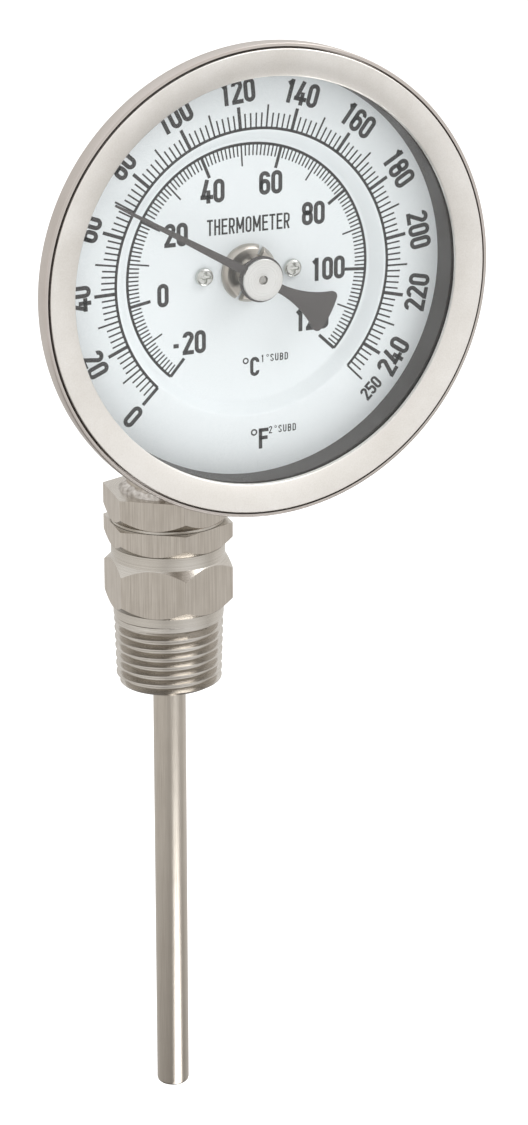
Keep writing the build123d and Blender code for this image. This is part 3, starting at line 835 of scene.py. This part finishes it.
# ================================================================ case and window
@dataclass
class CaseAndWindow:
    """Case pan with its rolled rim, bezel ring, glass, gasket and spacer."""

    finishes: Finishes
    sheet: float = 0.6
    bezel_sheet: float = 0.8
    pan_edge: float = 5.0
    rim_edge: float = 0.28
    lip_edge: float = 0.22
    dip: float = 1.1  # the bezel's face falls this far towards the window
    window: float = 36.15
    hole: float = 3.6  # in the pan's back, for the drive
    glass_edge: float = 0.2
    spacer_edge: float = 0.1

    def build_pan(self) -> None:
        """Makes the case pan and its rim."""
        low, high = box("case_pan")
        rim = high.x
        wall = box("spacer_ring")[1].x
        flange = -box("bezel_ring")[1].y
        back, front = -high.y, -low.y
        hole = self.hole
        outer = wall + self.sheet
        pan_corner = (outer, back)
        inner_corner = (wall, back + self.sheet)
        rim_back = (rim, flange - self.sheet)
        rim_front = (rim, front)
        profile = [
            (hole, back + self.sheet), inner_corner, (wall, flange), (rim - self.sheet, flange),
            (rim - self.sheet, front), rim_front, rim_back, (outer, flange - self.sheet), pan_corner,
            (hole, back),
        ]
        rounded = {
            pan_corner: self.pan_edge, inner_corner: self.pan_edge - self.sheet, rim_back: self.rim_edge,
            rim_front: self.rim_edge,
        }
        bm = turned(profile, rounded)
        # the rim's finish is the bezel's sheet in a greyer colour: painted shade on the side
        finish = [self.finishes.rim]
        place(bm, "case_shell", "head", finish, ["case_pan"], on_dial_axis())

    def build_bezel(self) -> None:
        """Makes the bezel ring."""
        low, high = box("bezel_ring")
        radius = high.x
        front, flange = -low.y, -high.y
        glass = -box("window_glass")[0].y
        lip = (self.window, glass + self.bezel_sheet)
        edge = (radius, front)
        inner = radius - self.bezel_sheet
        profile = [lip, edge, (radius, flange), (inner, flange), (inner, glass), (self.window, glass)]
        bm = turned(profile, {edge: self.rim_edge, lip: self.lip_edge})
        finish = [self.finishes.pressed]
        place(bm, "bezel", "head", finish, ["bezel_ring"], on_dial_axis())

    def build_glass(self) -> None:
        """Makes the window, with ground edges."""
        low, high = box("window_glass")
        front, back, radius = -low.y, -high.y, high.x
        profile = [(0.0, back), (radius, back), (radius, front), (0.0, front)]
        rounded = {(radius, back): self.glass_edge, (radius, front): self.glass_edge}
        bm = turned(profile, rounded, closed=False)
        place(bm, "window", "head", [self.finishes.glass], ["window_glass"], on_dial_axis())

    def build_spacer(self) -> None:
        """Makes the dark spacer between the dial and the glass."""
        low, high = box("spacer_ring")
        front, back, radius = -low.y, -high.y, high.x
        profile = [(self.window, back), (radius, back), (radius, front), (self.window, front)]
        bm = turned(profile, {(self.window, front): self.spacer_edge})
        finish = [self.finishes.spacer]
        place(bm, "window_spacer", "head", finish, ["spacer_ring"], on_dial_axis())

    def dress(self) -> None:
        """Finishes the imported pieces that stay."""
        dress_nodes({"window_gasket": self.finishes.rubber, "dial_standoffs": self.finishes.drawn})


# ================================================================ dial
class Facing(Enum):
    """Which way the head of a numeral points."""

    OUTWARD = 0.0
    INWARD = math.pi


@dataclass
class BlockHand:
    """Condensed block letters, drawn with straight strokes and round bends of one width."""

    height: float
    low: float  # foot of the ink
    high: float  # face of the ink
    weight: float = 0.18  # stroke's width, as a share of the height
    half: float = 0.165  # middle of a letter to the middle of its side strokes, as a share of the height
    advance: float = 0.55  # one letter to the next, as a share of the height
    fine: float = 0.42  # degree sign's stroke beside a letter's
    wide_half: float = 1.45  # middle to side stroke of an M beside the others
    wide_letter: float = 1.3  # width of an M beside the others
    facet: float = 15.0  # degrees of a bend to one facet
    pen: Matrix = field(default_factory=Matrix)  # where the next letter goes

    def stroke(self, bm: BMesh, start: Point, end: Point) -> None:
        """Draws a straight stroke.

        Args:
            bm: The print's mesh.
            start: One end of its middle line, in shares of the height.
            end: The other end.
        """
        way = (Vector(end) - Vector(start)) * self.height
        middle = (Vector(end) + Vector(start)) * self.height / 2
        place_at = Matrix.Translation((middle.x, middle.y, (self.low + self.high) / 2))
        turn = Matrix.Rotation(math.atan2(way.y, way.x), 4, "Z")
        size = Matrix.Diagonal((way.length, self.weight * self.height, self.high - self.low, 1.0))
        bmesh.ops.create_cube(bm, size=1.0, matrix=self.pen @ place_at @ turn @ size)

    def bend(
        self, bm: BMesh, centre: Point, first: float, last: float, radius: float | None = None
    ) -> None:
        """Draws a round bend.

        Args:
            bm: The print's mesh.
            centre: Its centre, in shares of the height.
            first: Direction of one end, degrees.
            last: Direction of the other.
            radius: Radius of a degree sign, which is drawn fine; a letter's bend has the hand's own.
        """
        half = self.weight / 2 if radius is None else self.weight * self.fine / 2
        radius = self.half if radius is None else radius
        near, far = (radius - half) * self.height, (radius + half) * self.height
        corners = [
            bm.verts.new((r, 0.0, z))
            for r, z in ((near, self.low), (far, self.low), (far, self.high), (near, self.high))
        ]
        face = bm.faces.new(corners)
        spot = Matrix.Translation((centre[0] * self.height, centre[1] * self.height, 0.0))
        bmesh.ops.transform(
            bm, verts=corners, matrix=self.pen @ spot @ Matrix.Rotation(math.radians(first), 4, "Z")
        )
        steps = max(4, round(abs(last - first) / self.facet))
        spun(bm, [face], math.radians(last - first), steps, (self.pen @ spot).translation)

    def bowl(self, bm: BMesh, foot: float, head: float, left: bool = True) -> None:
        """Draws a closed bowl.

        Args:
            bm: The print's mesh.
            foot: Middle of its lower stroke, in shares of the height.
            head: Middle of its upper stroke.
            left: Whether it has a round left side; without one it runs square to a letter's stem.
        """
        side = self.half
        low, high = foot + side, head - side
        self.stroke(bm, (side, low), (side, high))
        if left:
            self.stroke(bm, (-side, low), (-side, high))
            self.bend(bm, (0, high), 0, 180)
            self.bend(bm, (0, low), 180, 360)
        else:
            self.bend(bm, (0, high), 0, 90)
            self.bend(bm, (0, low), 270, 360)
            self.stroke(bm, (-side, head), (0, head))
            self.stroke(bm, (-side, foot), (0, foot))

    def letter(self, bm: BMesh, sign: str) -> None:
        """Draws one letter or numeral.

        Args:
            bm: The print's mesh.
            sign: The letter, drawn about the pen's place with its foot at nought.
        """
        side = self.half * (self.wide_half if sign == "M" else 1.0)
        edge = side + self.weight / 2
        foot, head, waist = self.weight / 2, 1 - self.weight / 2, 0.53
        if sign in "BDEFHMR":
            self.stroke(bm, (-side, 0), (-side, 1))
        if sign in "EFT5":
            self.stroke(bm, (-edge, head), (edge, head))
        if sign in "EF":
            self.stroke(bm, (-edge, waist), (edge * 0.8, waist))
        if sign in "E2":
            self.stroke(bm, (-edge, foot), (edge, foot))
        if sign in "0O":
            self.bowl(bm, foot, head)
        elif sign == "1":
            self.stroke(bm, (0.04, 0), (0.04, 1))
            self.stroke(bm, (0.04, head), (-0.12, head - 0.13))
        elif sign == "2":
            self.bend(bm, (0, head - side), -25, 180)
            self.stroke(bm, (side * 0.92, head - side * 1.35), (-side * 0.9, foot + 0.05))
        elif sign == "4":
            self.stroke(bm, (0.07, 0), (0.07, 0.55))
            self.stroke(bm, (-edge - 0.03, 0.26), (edge + 0.03, 0.26))
            self.stroke(bm, (-side - 0.01, 0.26), (0.02, 1))
        elif sign == "5":
            self.stroke(bm, (-side, head), (-side, waist - 0.05))
            self.bend(bm, (0, waist - side + 0.04), 0, 150)
            self.stroke(bm, (side, foot + side), (side, waist - side + 0.04))
            self.bend(bm, (0, foot + side), 180, 360)
        elif sign == "6":
            self.bowl(bm, foot, waist + 0.05)
            self.stroke(bm, (-side, foot + side), (-side, head - side))
            self.bend(bm, (0, head - side), 0, 180)
        elif sign == "8":
            self.bowl(bm, foot, waist + 0.02)
            self.bowl(bm, waist - 0.02, head)
        elif sign == "-":
            self.stroke(bm, (-0.12, 0.42), (0.12, 0.42))
        elif sign == "°":
            self.bend(bm, (0.05, 0.84), 0, 360, 0.13)
        elif sign == "C":
            self.bend(bm, (0, head - side), -10, 180)
            self.bend(bm, (0, foot + side), 180, 370)
            self.stroke(bm, (-side, foot + side), (-side, head - side))
        elif sign == "T":
            self.stroke(bm, (0, 0), (0, 1))
        elif sign in "HM":
            self.stroke(bm, (side, 0), (side, 1))
            if sign == "H":
                self.stroke(bm, (-side, waist), (side, waist))
            else:
                self.stroke(bm, (-side, head), (0, 0.25))
                self.stroke(bm, (side, head), (0, 0.25))
        elif sign in "DB":
            self.bowl(bm, foot, head if sign == "D" else waist + 0.02, left=False)
            if sign == "B":
                self.bowl(bm, waist - 0.02, head, left=False)
        elif sign == "R":
            self.bowl(bm, 0.45, head, left=False)
            self.stroke(bm, (0, 0.45), (side, 0))
        elif sign == "S":
            self.bend(bm, (0, head - side), 0, 270)
            self.bend(bm, (0, foot + side), -180, 90)
        elif sign == "U":
            self.bend(bm, (0, foot + side), 180, 360)
            self.stroke(bm, (-side, foot + side), (-side, 1))
            self.stroke(bm, (side, foot + side), (side, 1))

    def write(self, bm: BMesh, words: str) -> None:
        """Writes words, centred on the origin.

        Args:
            bm: The print's mesh.
            words: What to write.
        """
        widths = [self.wide_letter if sign == "M" else 1.0 for sign in words]
        across = -sum(widths) / 2
        for sign, width in zip(words, widths):
            middle = (across + width / 2) * self.advance * self.height
            self.pen = Matrix.Translation((middle, -self.height / 2, 0.0))
            self.letter(bm, sign)
            across += width


@dataclass
class Dial:
    """Stepped dial plate with its two printed scales, numerals and words."""

    finishes: Finishes
    hole: float = 3.6
    sink_in: float = 23.6
    sink_out: float = 25.5
    sheet: float = 0.5
    foot_edge: float = 0.35  # roundings where the plate sinks
    brow_edge: float = 0.3
    start: float = -135.0  # direction of nought on the outer scale, degrees clockwise from the top
    step: float = 1.08  # degrees of turn to a degree Fahrenheit
    outer_ring: float = 26.0
    inner_ring: float = 22.9
    ring_width: float = 0.5
    ring_steps: int = 200
    # Marks of each scale: every so many degrees, length and width.
    outer_marks: tuple[tuple[int, float, float], ...] = ((20, 4.0, 0.62), (10, 4.1, 0.34), (1, 2.7, 0.3))
    inner_marks: tuple[tuple[int, float, float], ...] = ((20, 4.0, 0.58), (10, 3.9, 0.3), (1, 2.1, 0.27))
    outer_numerals: float = 32.7
    inner_numerals: float = 16.0
    inner_shift: Point = (-0.5, 0.3)  # inner numerals from their marks' directions
    nudges: Mapping[int, Point] = field(
        default_factory=lambda: {-20: (-1.1, 0.5), 20: (0.4, 0.3), 60: (-0.1, 0.3), 120: (0.6, 1.2)}
    )  # the same for the numerals that are placed on their own
    numeral_height: float = 4.2
    last_height: float = 2.6  # height of the 250 at the scale's end
    lean: float = 1.5  # 220 and 240 stand this many degrees before their marks
    screw_edge: float = 0.05
    bushing_edge: float = 0.06
    ink_rise: float = 0.014
    ink_sink: float = 0.004

    def __post_init__(self) -> None:
        """Finds the heights of the two printed faces."""
        low, high = box("dial_plate")
        self.face = -low.y
        self.back = -high.y
        self.radius = high.x
        self.sunk_face = self.back + self.sheet

    def build_plate(self) -> None:
        """Makes the plate, whose middle is sunk behind its edge."""
        foot, brow = (self.sink_in, self.sunk_face), (self.sink_out, self.face)
        profile = [
            (self.hole, self.sunk_face), foot, brow, (self.radius, self.face),
            (self.radius, self.face - self.sheet), (self.sink_out, self.face - self.sheet),
            (self.sink_in, self.back), (self.hole, self.back),
        ]
        bm = turned(profile, {foot: self.foot_edge, brow: self.brow_edge})
        place(bm, "dial", "head", [self.finishes.enamel], ["dial_plate"], on_dial_axis())

    def direction(self, fahrenheit: float) -> float:
        """Gives a temperature's direction, radians clockwise from the top."""
        return math.radians(self.start + self.step * fahrenheit)

    def bar(
        self, bm: BMesh, angle: float, near: float, far: float, width: float, level: float
    ) -> None:
        """Prints a straight mark along a radius.

        Args:
            bm: The print's mesh.
            angle: Direction, radians clockwise from the top.
            near: Radius of the mark's inner end.
            far: Radius of its outer end.
            width: Its width.
            level: Height of the face it is printed on.
        """
        depth = self.ink_rise + self.ink_sink
        middle = Vector((0, (near + far) / 2, level + self.ink_rise - depth / 2))
        size = Matrix.Diagonal((width, far - near, depth, 1.0))
        spot = Matrix.Rotation(-angle, 4, "Z") @ Matrix.Translation(middle)
        bmesh.ops.create_cube(bm, size=1.0, matrix=spot @ size)

    def ring(self, bm: BMesh, radius: float, first: float, last: float, level: float) -> None:
        """Prints an arc, as a bar drawn round.

        Args:
            bm: The print's mesh.
            radius: Radius of its middle line.
            first: Direction of its start, radians clockwise from the top.
            last: Direction of its end.
            level: Height of the face it is printed on.
        """
        low, high = level - self.ink_sink, level + self.ink_rise
        near, far = radius - self.ring_width / 2, radius + self.ring_width / 2
        corners = [bm.verts.new((0, r, z)) for r, z in ((near, low), (far, low), (far, high), (near, high))]
        face = bm.faces.new(corners)
        turn = Matrix.Rotation(-first, 3, "Z")
        bmesh.ops.rotate(bm, verts=corners, matrix=turn)
        spun(bm, [face], last - first, self.ring_steps, axis=(0, 0, -1))

    def mark(self, degree: int, kinds: tuple[tuple[int, float, float], ...]) -> Point:
        """Picks a temperature's mark.

        Args:
            degree: The temperature.
            kinds: The scale's marks, the longest spacing first.

        Returns:
            The mark's length and width.
        """
        return next((length, width) for every, length, width in kinds if degree % every == 0)

    def build_scales(self) -> None:
        """Prints the two rings and their marks."""
        bm = bmesh.new()
        self.ring(bm, self.outer_ring, self.direction(0), self.direction(250), self.face)
        self.ring(bm, self.inner_ring, self.direction(-4), self.direction(248), self.sunk_face)
        for degree in range(0, 251, 2):
            length, width = self.mark(degree, self.outer_marks)
            self.bar(bm, self.direction(degree), self.outer_ring, self.outer_ring + length, width, self.face)
        for degree in range(-20, 121):
            length, width = self.mark(degree, self.inner_marks)
            angle = self.direction(32 + 1.8 * degree)
            self.bar(bm, angle, self.inner_ring - length, self.inner_ring, width, self.sunk_face)
        bmesh.ops.recalc_face_normals(bm, faces=bm.faces)
        place(bm, "dial_scales", "head", [self.finishes.ink], (), on_dial_axis())

    def letters(self, words: str, height: float, **style: float) -> BMesh:
        """Writes words in the dial's condensed block hand.

        Args:
            words: What to write.
            height: Height of a capital, mm.
            style: The hand's weight and spacing, where they differ from its own.

        Returns:
            The letters, centred on the origin, with their faces towards +Z.
        """
        bm = bmesh.new()
        hand = BlockHand(height, -self.ink_sink, self.ink_rise, **style)
        hand.write(bm, words)
        bmesh.ops.recalc_face_normals(bm, faces=bm.faces)
        return bm

    def build_numerals(self) -> None:
        """Prints the numerals of both scales and the words."""
        prints = []
        inward = (0, 20, 220, 240, 250)
        for degree in [*range(0, 241, 20), 250]:
            height = self.last_height if degree == 250 else self.numeral_height
            facing = Facing.INWARD if degree in inward else Facing.OUTWARD
            bm = self.letters(str(degree), height)
            angle = self.direction(degree) - (math.radians(self.lean) if degree in (220, 240) else 0.0)
            spot = Matrix.Rotation(-angle, 4, "Z") @ Matrix.Translation((0, self.outer_numerals, self.face))
            bm.transform(spot @ Matrix.Rotation(facing.value, 4, "Z"))
            prints.append(bm)
        for degree in range(-20, 121, 20):
            bm = self.letters(str(degree), self.numeral_height)
            angle = self.direction(32 + 1.8 * degree)
            nudge = self.nudges.get(degree, self.inner_shift)
            across = self.inner_numerals * math.sin(angle) + nudge[0]
            up = self.inner_numerals * math.cos(angle) + nudge[1]
            bm.transform(Matrix.Translation((across, up, self.sunk_face)))
            prints.append(bm)
        title = {"weight": 0.125, "half": 0.14, "advance": 0.487}
        small = {"weight": 0.15, "half": 0.17, "advance": 0.69, "fine": 0.6}
        words = (
            ("THERMOMETER", 2.85, (0.1, 8.6), self.sunk_face, title),
            ("°C", 3.5, (0.3, -17.3), self.sunk_face, {}),
            ("1°SUBD", 1.35, (5.1, -16.0), self.sunk_face, small),
            ("°F", 3.75, (0.9, -30.0), self.face, {}),
            ("2°SUBD", 1.35, (5.6, -28.6), self.face, small),
        )
        for text, height, (x, y), level, style in words:
            bm = self.letters(text, height, **style)
            bm.transform(Matrix.Translation((x, y, level)))
            prints.append(bm)
        ink = [self.finishes.ink]
        place(joined(prints), "dial_numerals", "head", ink, (), on_dial_axis())

    def build_fasteners(self) -> None:
        """Refines the screws and the centre bushing."""
        screws = refined("dial_screws", self.screw_edge)
        place(screws, "dial_screw_pair", "head", [self.finishes.screw], ["dial_screws"])
        bushing = refined("center_bushing", self.bushing_edge)
        finish = [self.finishes.bushing]
        place(bushing, "center_bushing_face", "head", finish, ["center_bushing"])


# ================================================================ pointer and drive
@dataclass
class Movement:
    """Pointer with its hub and spindle, and the drive down the stem."""

    finishes: Finishes
    blade_edge: float = 0.05
    hub_edge: float = 0.16
    mouth_edge: float = 0.1  # rounding where the hub's hole opens
    shank: float = 1.9
    head: float = 0.75
    spindle: float = 0.8
    tip: float = 0.35  # rounding of the spindle's tip

    def build_pointer(self) -> None:
        """Refines the pointer's edges."""
        blade = refined("pointer", self.blade_edge)
        place(blade, "pointer_blade", "pointer", [self.finishes.pointer], ["pointer"])

    def build_hub(self) -> None:
        """Makes the hub that grips the pointer on its spindle."""
        low, high = box("pointer_hub")
        front, back, radius = -low.y, -high.y, high.x
        profile = [
            (self.spindle, front), (radius, front), (radius, front - self.head),
            (self.shank, front - self.head), (self.shank, back), (self.spindle, back),
        ]
        bm = turned(profile, {(radius, front): self.hub_edge, (self.spindle, front): self.mouth_edge})
        place(bm, "hub", "pointer", [self.finishes.hub], ["pointer_hub"], on_dial_axis())

    def build_spindle(self) -> None:
        """Makes the spindle, whose rounded tip shows in the hub."""
        low, high = box("pointer_spindle")
        front, back, radius = -low.y, -high.y, high.x
        profile = [(0.0, front), (radius, front), (radius, back), (0.0, back)]
        bm = turned(profile, {(radius, front): self.tip}, closed=False)
        wire = [self.finishes.wire]
        place(bm, "spindle", "pointer", wire, ["pointer_spindle"], on_dial_axis())

    def dress(self) -> None:
        """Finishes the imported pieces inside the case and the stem."""
        dress_nodes({
            "front_bearing": self.finishes.bronze, "rear_bearing": self.finishes.bronze,
            "spindle_clip": self.finishes.wire,
            "spindle_sleeve": self.finishes.bronze, "drive_shaft": self.finishes.wire,
            "helix_collar": self.finishes.bronze, "shaft_sleeve": self.finishes.bronze,
            "helix_anchor": self.finishes.drawn, "bimetal_helix": self.finishes.bimetal,
            "guide_bush_lower": self.finishes.plastic, "guide_bush_upper": self.finishes.plastic,
            "flexible_coupling": self.finishes.wire,
        })


# ================================================================ studio
@dataclass
class Studio:
    """Pale floor, soft light and the camera."""

    camera_turn: float = -24.155  # degrees about the stem, from the dial's front
    camera_rise: float = 18.475
    camera_reach: float = 650.0
    target: tuple[float, float, float] = (20.16, 0.0, 5.15)
    lens: float = 106.84
    floor_drop: float = 60.0  # floor below the stem's tip, because the fitting holds the thermometer up
    floor_size: float = 6.0  # metres
    paper: str = "#C8C8C8"
    paper_roughness: float = 0.9
    paper_glow: float = 0.75
    bright_patch: Point = (20.0, -16.0)  # the walls' brightest place: turn and rise, degrees
    # Walls from the side away from the bright patch to the patch itself.
    walls: Stops = (
        (-1.0, "#E4E2DF"), (0.0, "#F4F2EF"), (0.45, "#EFEDEA"), (0.7, "#D6D4D1"), (0.92, "#F2F1EF"),
        (1.0, "#FFFFFF"),
    )
    # Share of the white ceiling, and tone of the ground, from straight below to straight above.
    above: Stops = ((-1.0, "#000000"), (0.25, "#000000"), (0.6, "#FFFFFF"), (1.0, "#FFFFFF"))
    below: Stops = ((-1.0, "#8C8A88"), (-0.7, "#949290"), (-0.42, "#FFFFFF"), (1.0, "#FFFFFF"))

    def toward(self, turn: float, rise: float) -> Vector:
        """Gives the direction from the thermometer to a place in the studio."""
        turn, rise = math.radians(turn), math.radians(rise)
        return Vector((math.sin(turn) * math.cos(rise), -math.cos(turn) * math.cos(rise), math.sin(rise)))

    def build_camera(self) -> None:
        """Sets the camera up."""
        camera = bpy.data.cameras.new("studio_camera")
        camera.sensor_fit = "VERTICAL"
        camera.sensor_height = 36.0
        camera.lens = self.lens
        camera.clip_start = 0.01
        way = self.toward(self.camera_turn, self.camera_rise)
        holder = bpy.data.objects.new("studio_camera", camera)
        holder.location = (Vector(self.target) + way * self.camera_reach) * MM
        holder.rotation_euler = way.to_track_quat("Z", "Y").to_euler()
        bpy.context.scene.collection.objects.link(holder)
        bpy.context.scene.camera = holder

    def build_light(
        self, name: str, turn: float, rise: float, reach: float, size: float, power: float
    ) -> None:
        """Hangs a soft box.

        Args:
            name: The light's name.
            turn: Its direction about the stem, degrees from the dial's front.
            rise: Its height, degrees.
            reach: Its distance, metres.
            size: Its side, metres.
            power: Its power, watts.
        """
        lamp = bpy.data.lights.new(name, "AREA")
        lamp.size = size
        lamp.energy = power
        holder = bpy.data.objects.new(name, lamp)
        way = self.toward(turn, rise)
        holder.location = way * reach
        holder.rotation_euler = way.to_track_quat("Z", "Y").to_euler()
        bpy.context.scene.collection.objects.link(holder)

    def ramp(
        self, tree: bpy.types.NodeTree, value: bpy.types.NodeSocket, stops: Stops
    ) -> bpy.types.NodeSocket:
        """Turns a value from -1 to 1 into a colour.

        Args:
            tree: The node tree.
            value: The value's socket.
            stops: Values in rising order, each with its sRGB colour.

        Returns:
            The colour's socket.
        """
        share = add_node(tree, "ShaderNodeMapRange", inputs={0: value, 1: -1.0, 2: 1.0}).outputs[0]
        node = add_node(tree, "ShaderNodeValToRGB", inputs={0: share})
        elements = node.color_ramp.elements
        elements[0].color = linear(stops[0][1])
        elements[1].color = linear(stops[-1][1])
        for place_at, colour in stops[1:-1]:
            elements.new((place_at + 1) / 2).color = linear(colour)
        return node.outputs["Color"]

    def build_world(self) -> None:
        """Makes the studio's walls, even but for a bright patch low at the front right."""
        world = bpy.data.worlds.new("studio")
        world.use_nodes = True
        tree = world.node_tree
        way = add_node(tree, "ShaderNodeTexCoord").outputs["Generated"]
        bright = self.toward(*self.bright_patch)
        facing = add_node(
            tree, "ShaderNodeVectorMath", {"operation": "DOT_PRODUCT"}, {0: way, 1: tuple(bright)}
        ).outputs["Value"]
        walls = self.ramp(tree, facing, self.walls)
        rise = add_node(tree, "ShaderNodeSeparateXYZ", inputs={0: way}).outputs["Z"]
        above = self.ramp(tree, rise, self.above)
        below = self.ramp(tree, rise, self.below)
        lit = add_node(
            tree, "ShaderNodeMix", {"data_type": "RGBA"},
            {"Factor": above, "A": walls, "B": linear("#FFFFFF")},
        )
        whole = add_node(
            tree, "ShaderNodeMix", {"data_type": "RGBA", "blend_type": "MULTIPLY"},
            {"Factor": 1.0, "A": lit.outputs["Result"], "B": below},
        )
        shader = tree.nodes["Background"]
        tree.links.new(whole.outputs["Result"], shader.inputs["Color"])
        shader.inputs["Strength"].default_value = 1.0
        bpy.context.scene.world = world

    def build_floor(self) -> None:
        """Lays the pale floor."""
        paper, shader = new_material("backdrop_paper_white")
        shader.inputs["Base Color"].default_value = linear(self.paper)
        shader.inputs["Roughness"].default_value = self.paper_roughness
        shader.inputs["Emission Color"].default_value = linear("#FFFFFF")
        shader.inputs["Emission Strength"].default_value = self.paper_glow
        bm = bmesh.new()
        bmesh.ops.create_grid(bm, x_segments=2, y_segments=2, size=self.floor_size / 2)
        mesh = bpy.data.meshes.new("studio_floor")
        bm.to_mesh(mesh)
        bm.free()
        mesh.materials.append(paper)
        floor = bpy.data.objects.new("studio_floor", mesh)
        floor.location.z = box("stem_tube")[0].z * MM - self.floor_drop * MM
        floor.visible_glossy = False
        bpy.context.scene.collection.objects.link(floor)

    def build(self) -> None:
        """Sets up the whole studio."""
        self.build_camera()
        self.build_world()
        self.build_floor()
        self.build_light("key_softbox", turn=48.0, rise=46.0, reach=1.2, size=0.7, power=5.0)
        self.build_light("low_softbox", turn=20.0, rise=-55.0, reach=0.5, size=0.3, power=1.2)
        bpy.context.scene.view_settings.view_transform = "Standard"


def main() -> None:
    """Builds the thermometer, sub-assembly by sub-assembly, and the studio round it."""
    logging.basicConfig(level=logging.INFO, format="%(name)s %(message)s")
    finishes = Finishes()
    Studio().build()
    connection = PipeConnection(finishes, HexBar(), PipeThread())
    stem = StemAndElbow(finishes)
    case = CaseAndWindow(finishes)
    dial = Dial(finishes)
    movement = Movement(finishes)
    steps: list[Callable[[], None]] = [
        connection.build_fitting, connection.build_nut, connection.build_neck, connection.dress,
        stem.build_stem, stem.build_elbow, stem.build_welds,
        case.build_pan, case.build_bezel, case.build_glass, case.build_spacer, case.dress,
        dial.build_plate, dial.build_scales, dial.build_numerals, dial.build_fasteners,
        movement.build_pointer, movement.build_hub, movement.build_spindle, movement.dress,
    ]
    for step in steps:
        step()


if __name__ == "__main__":
    main()
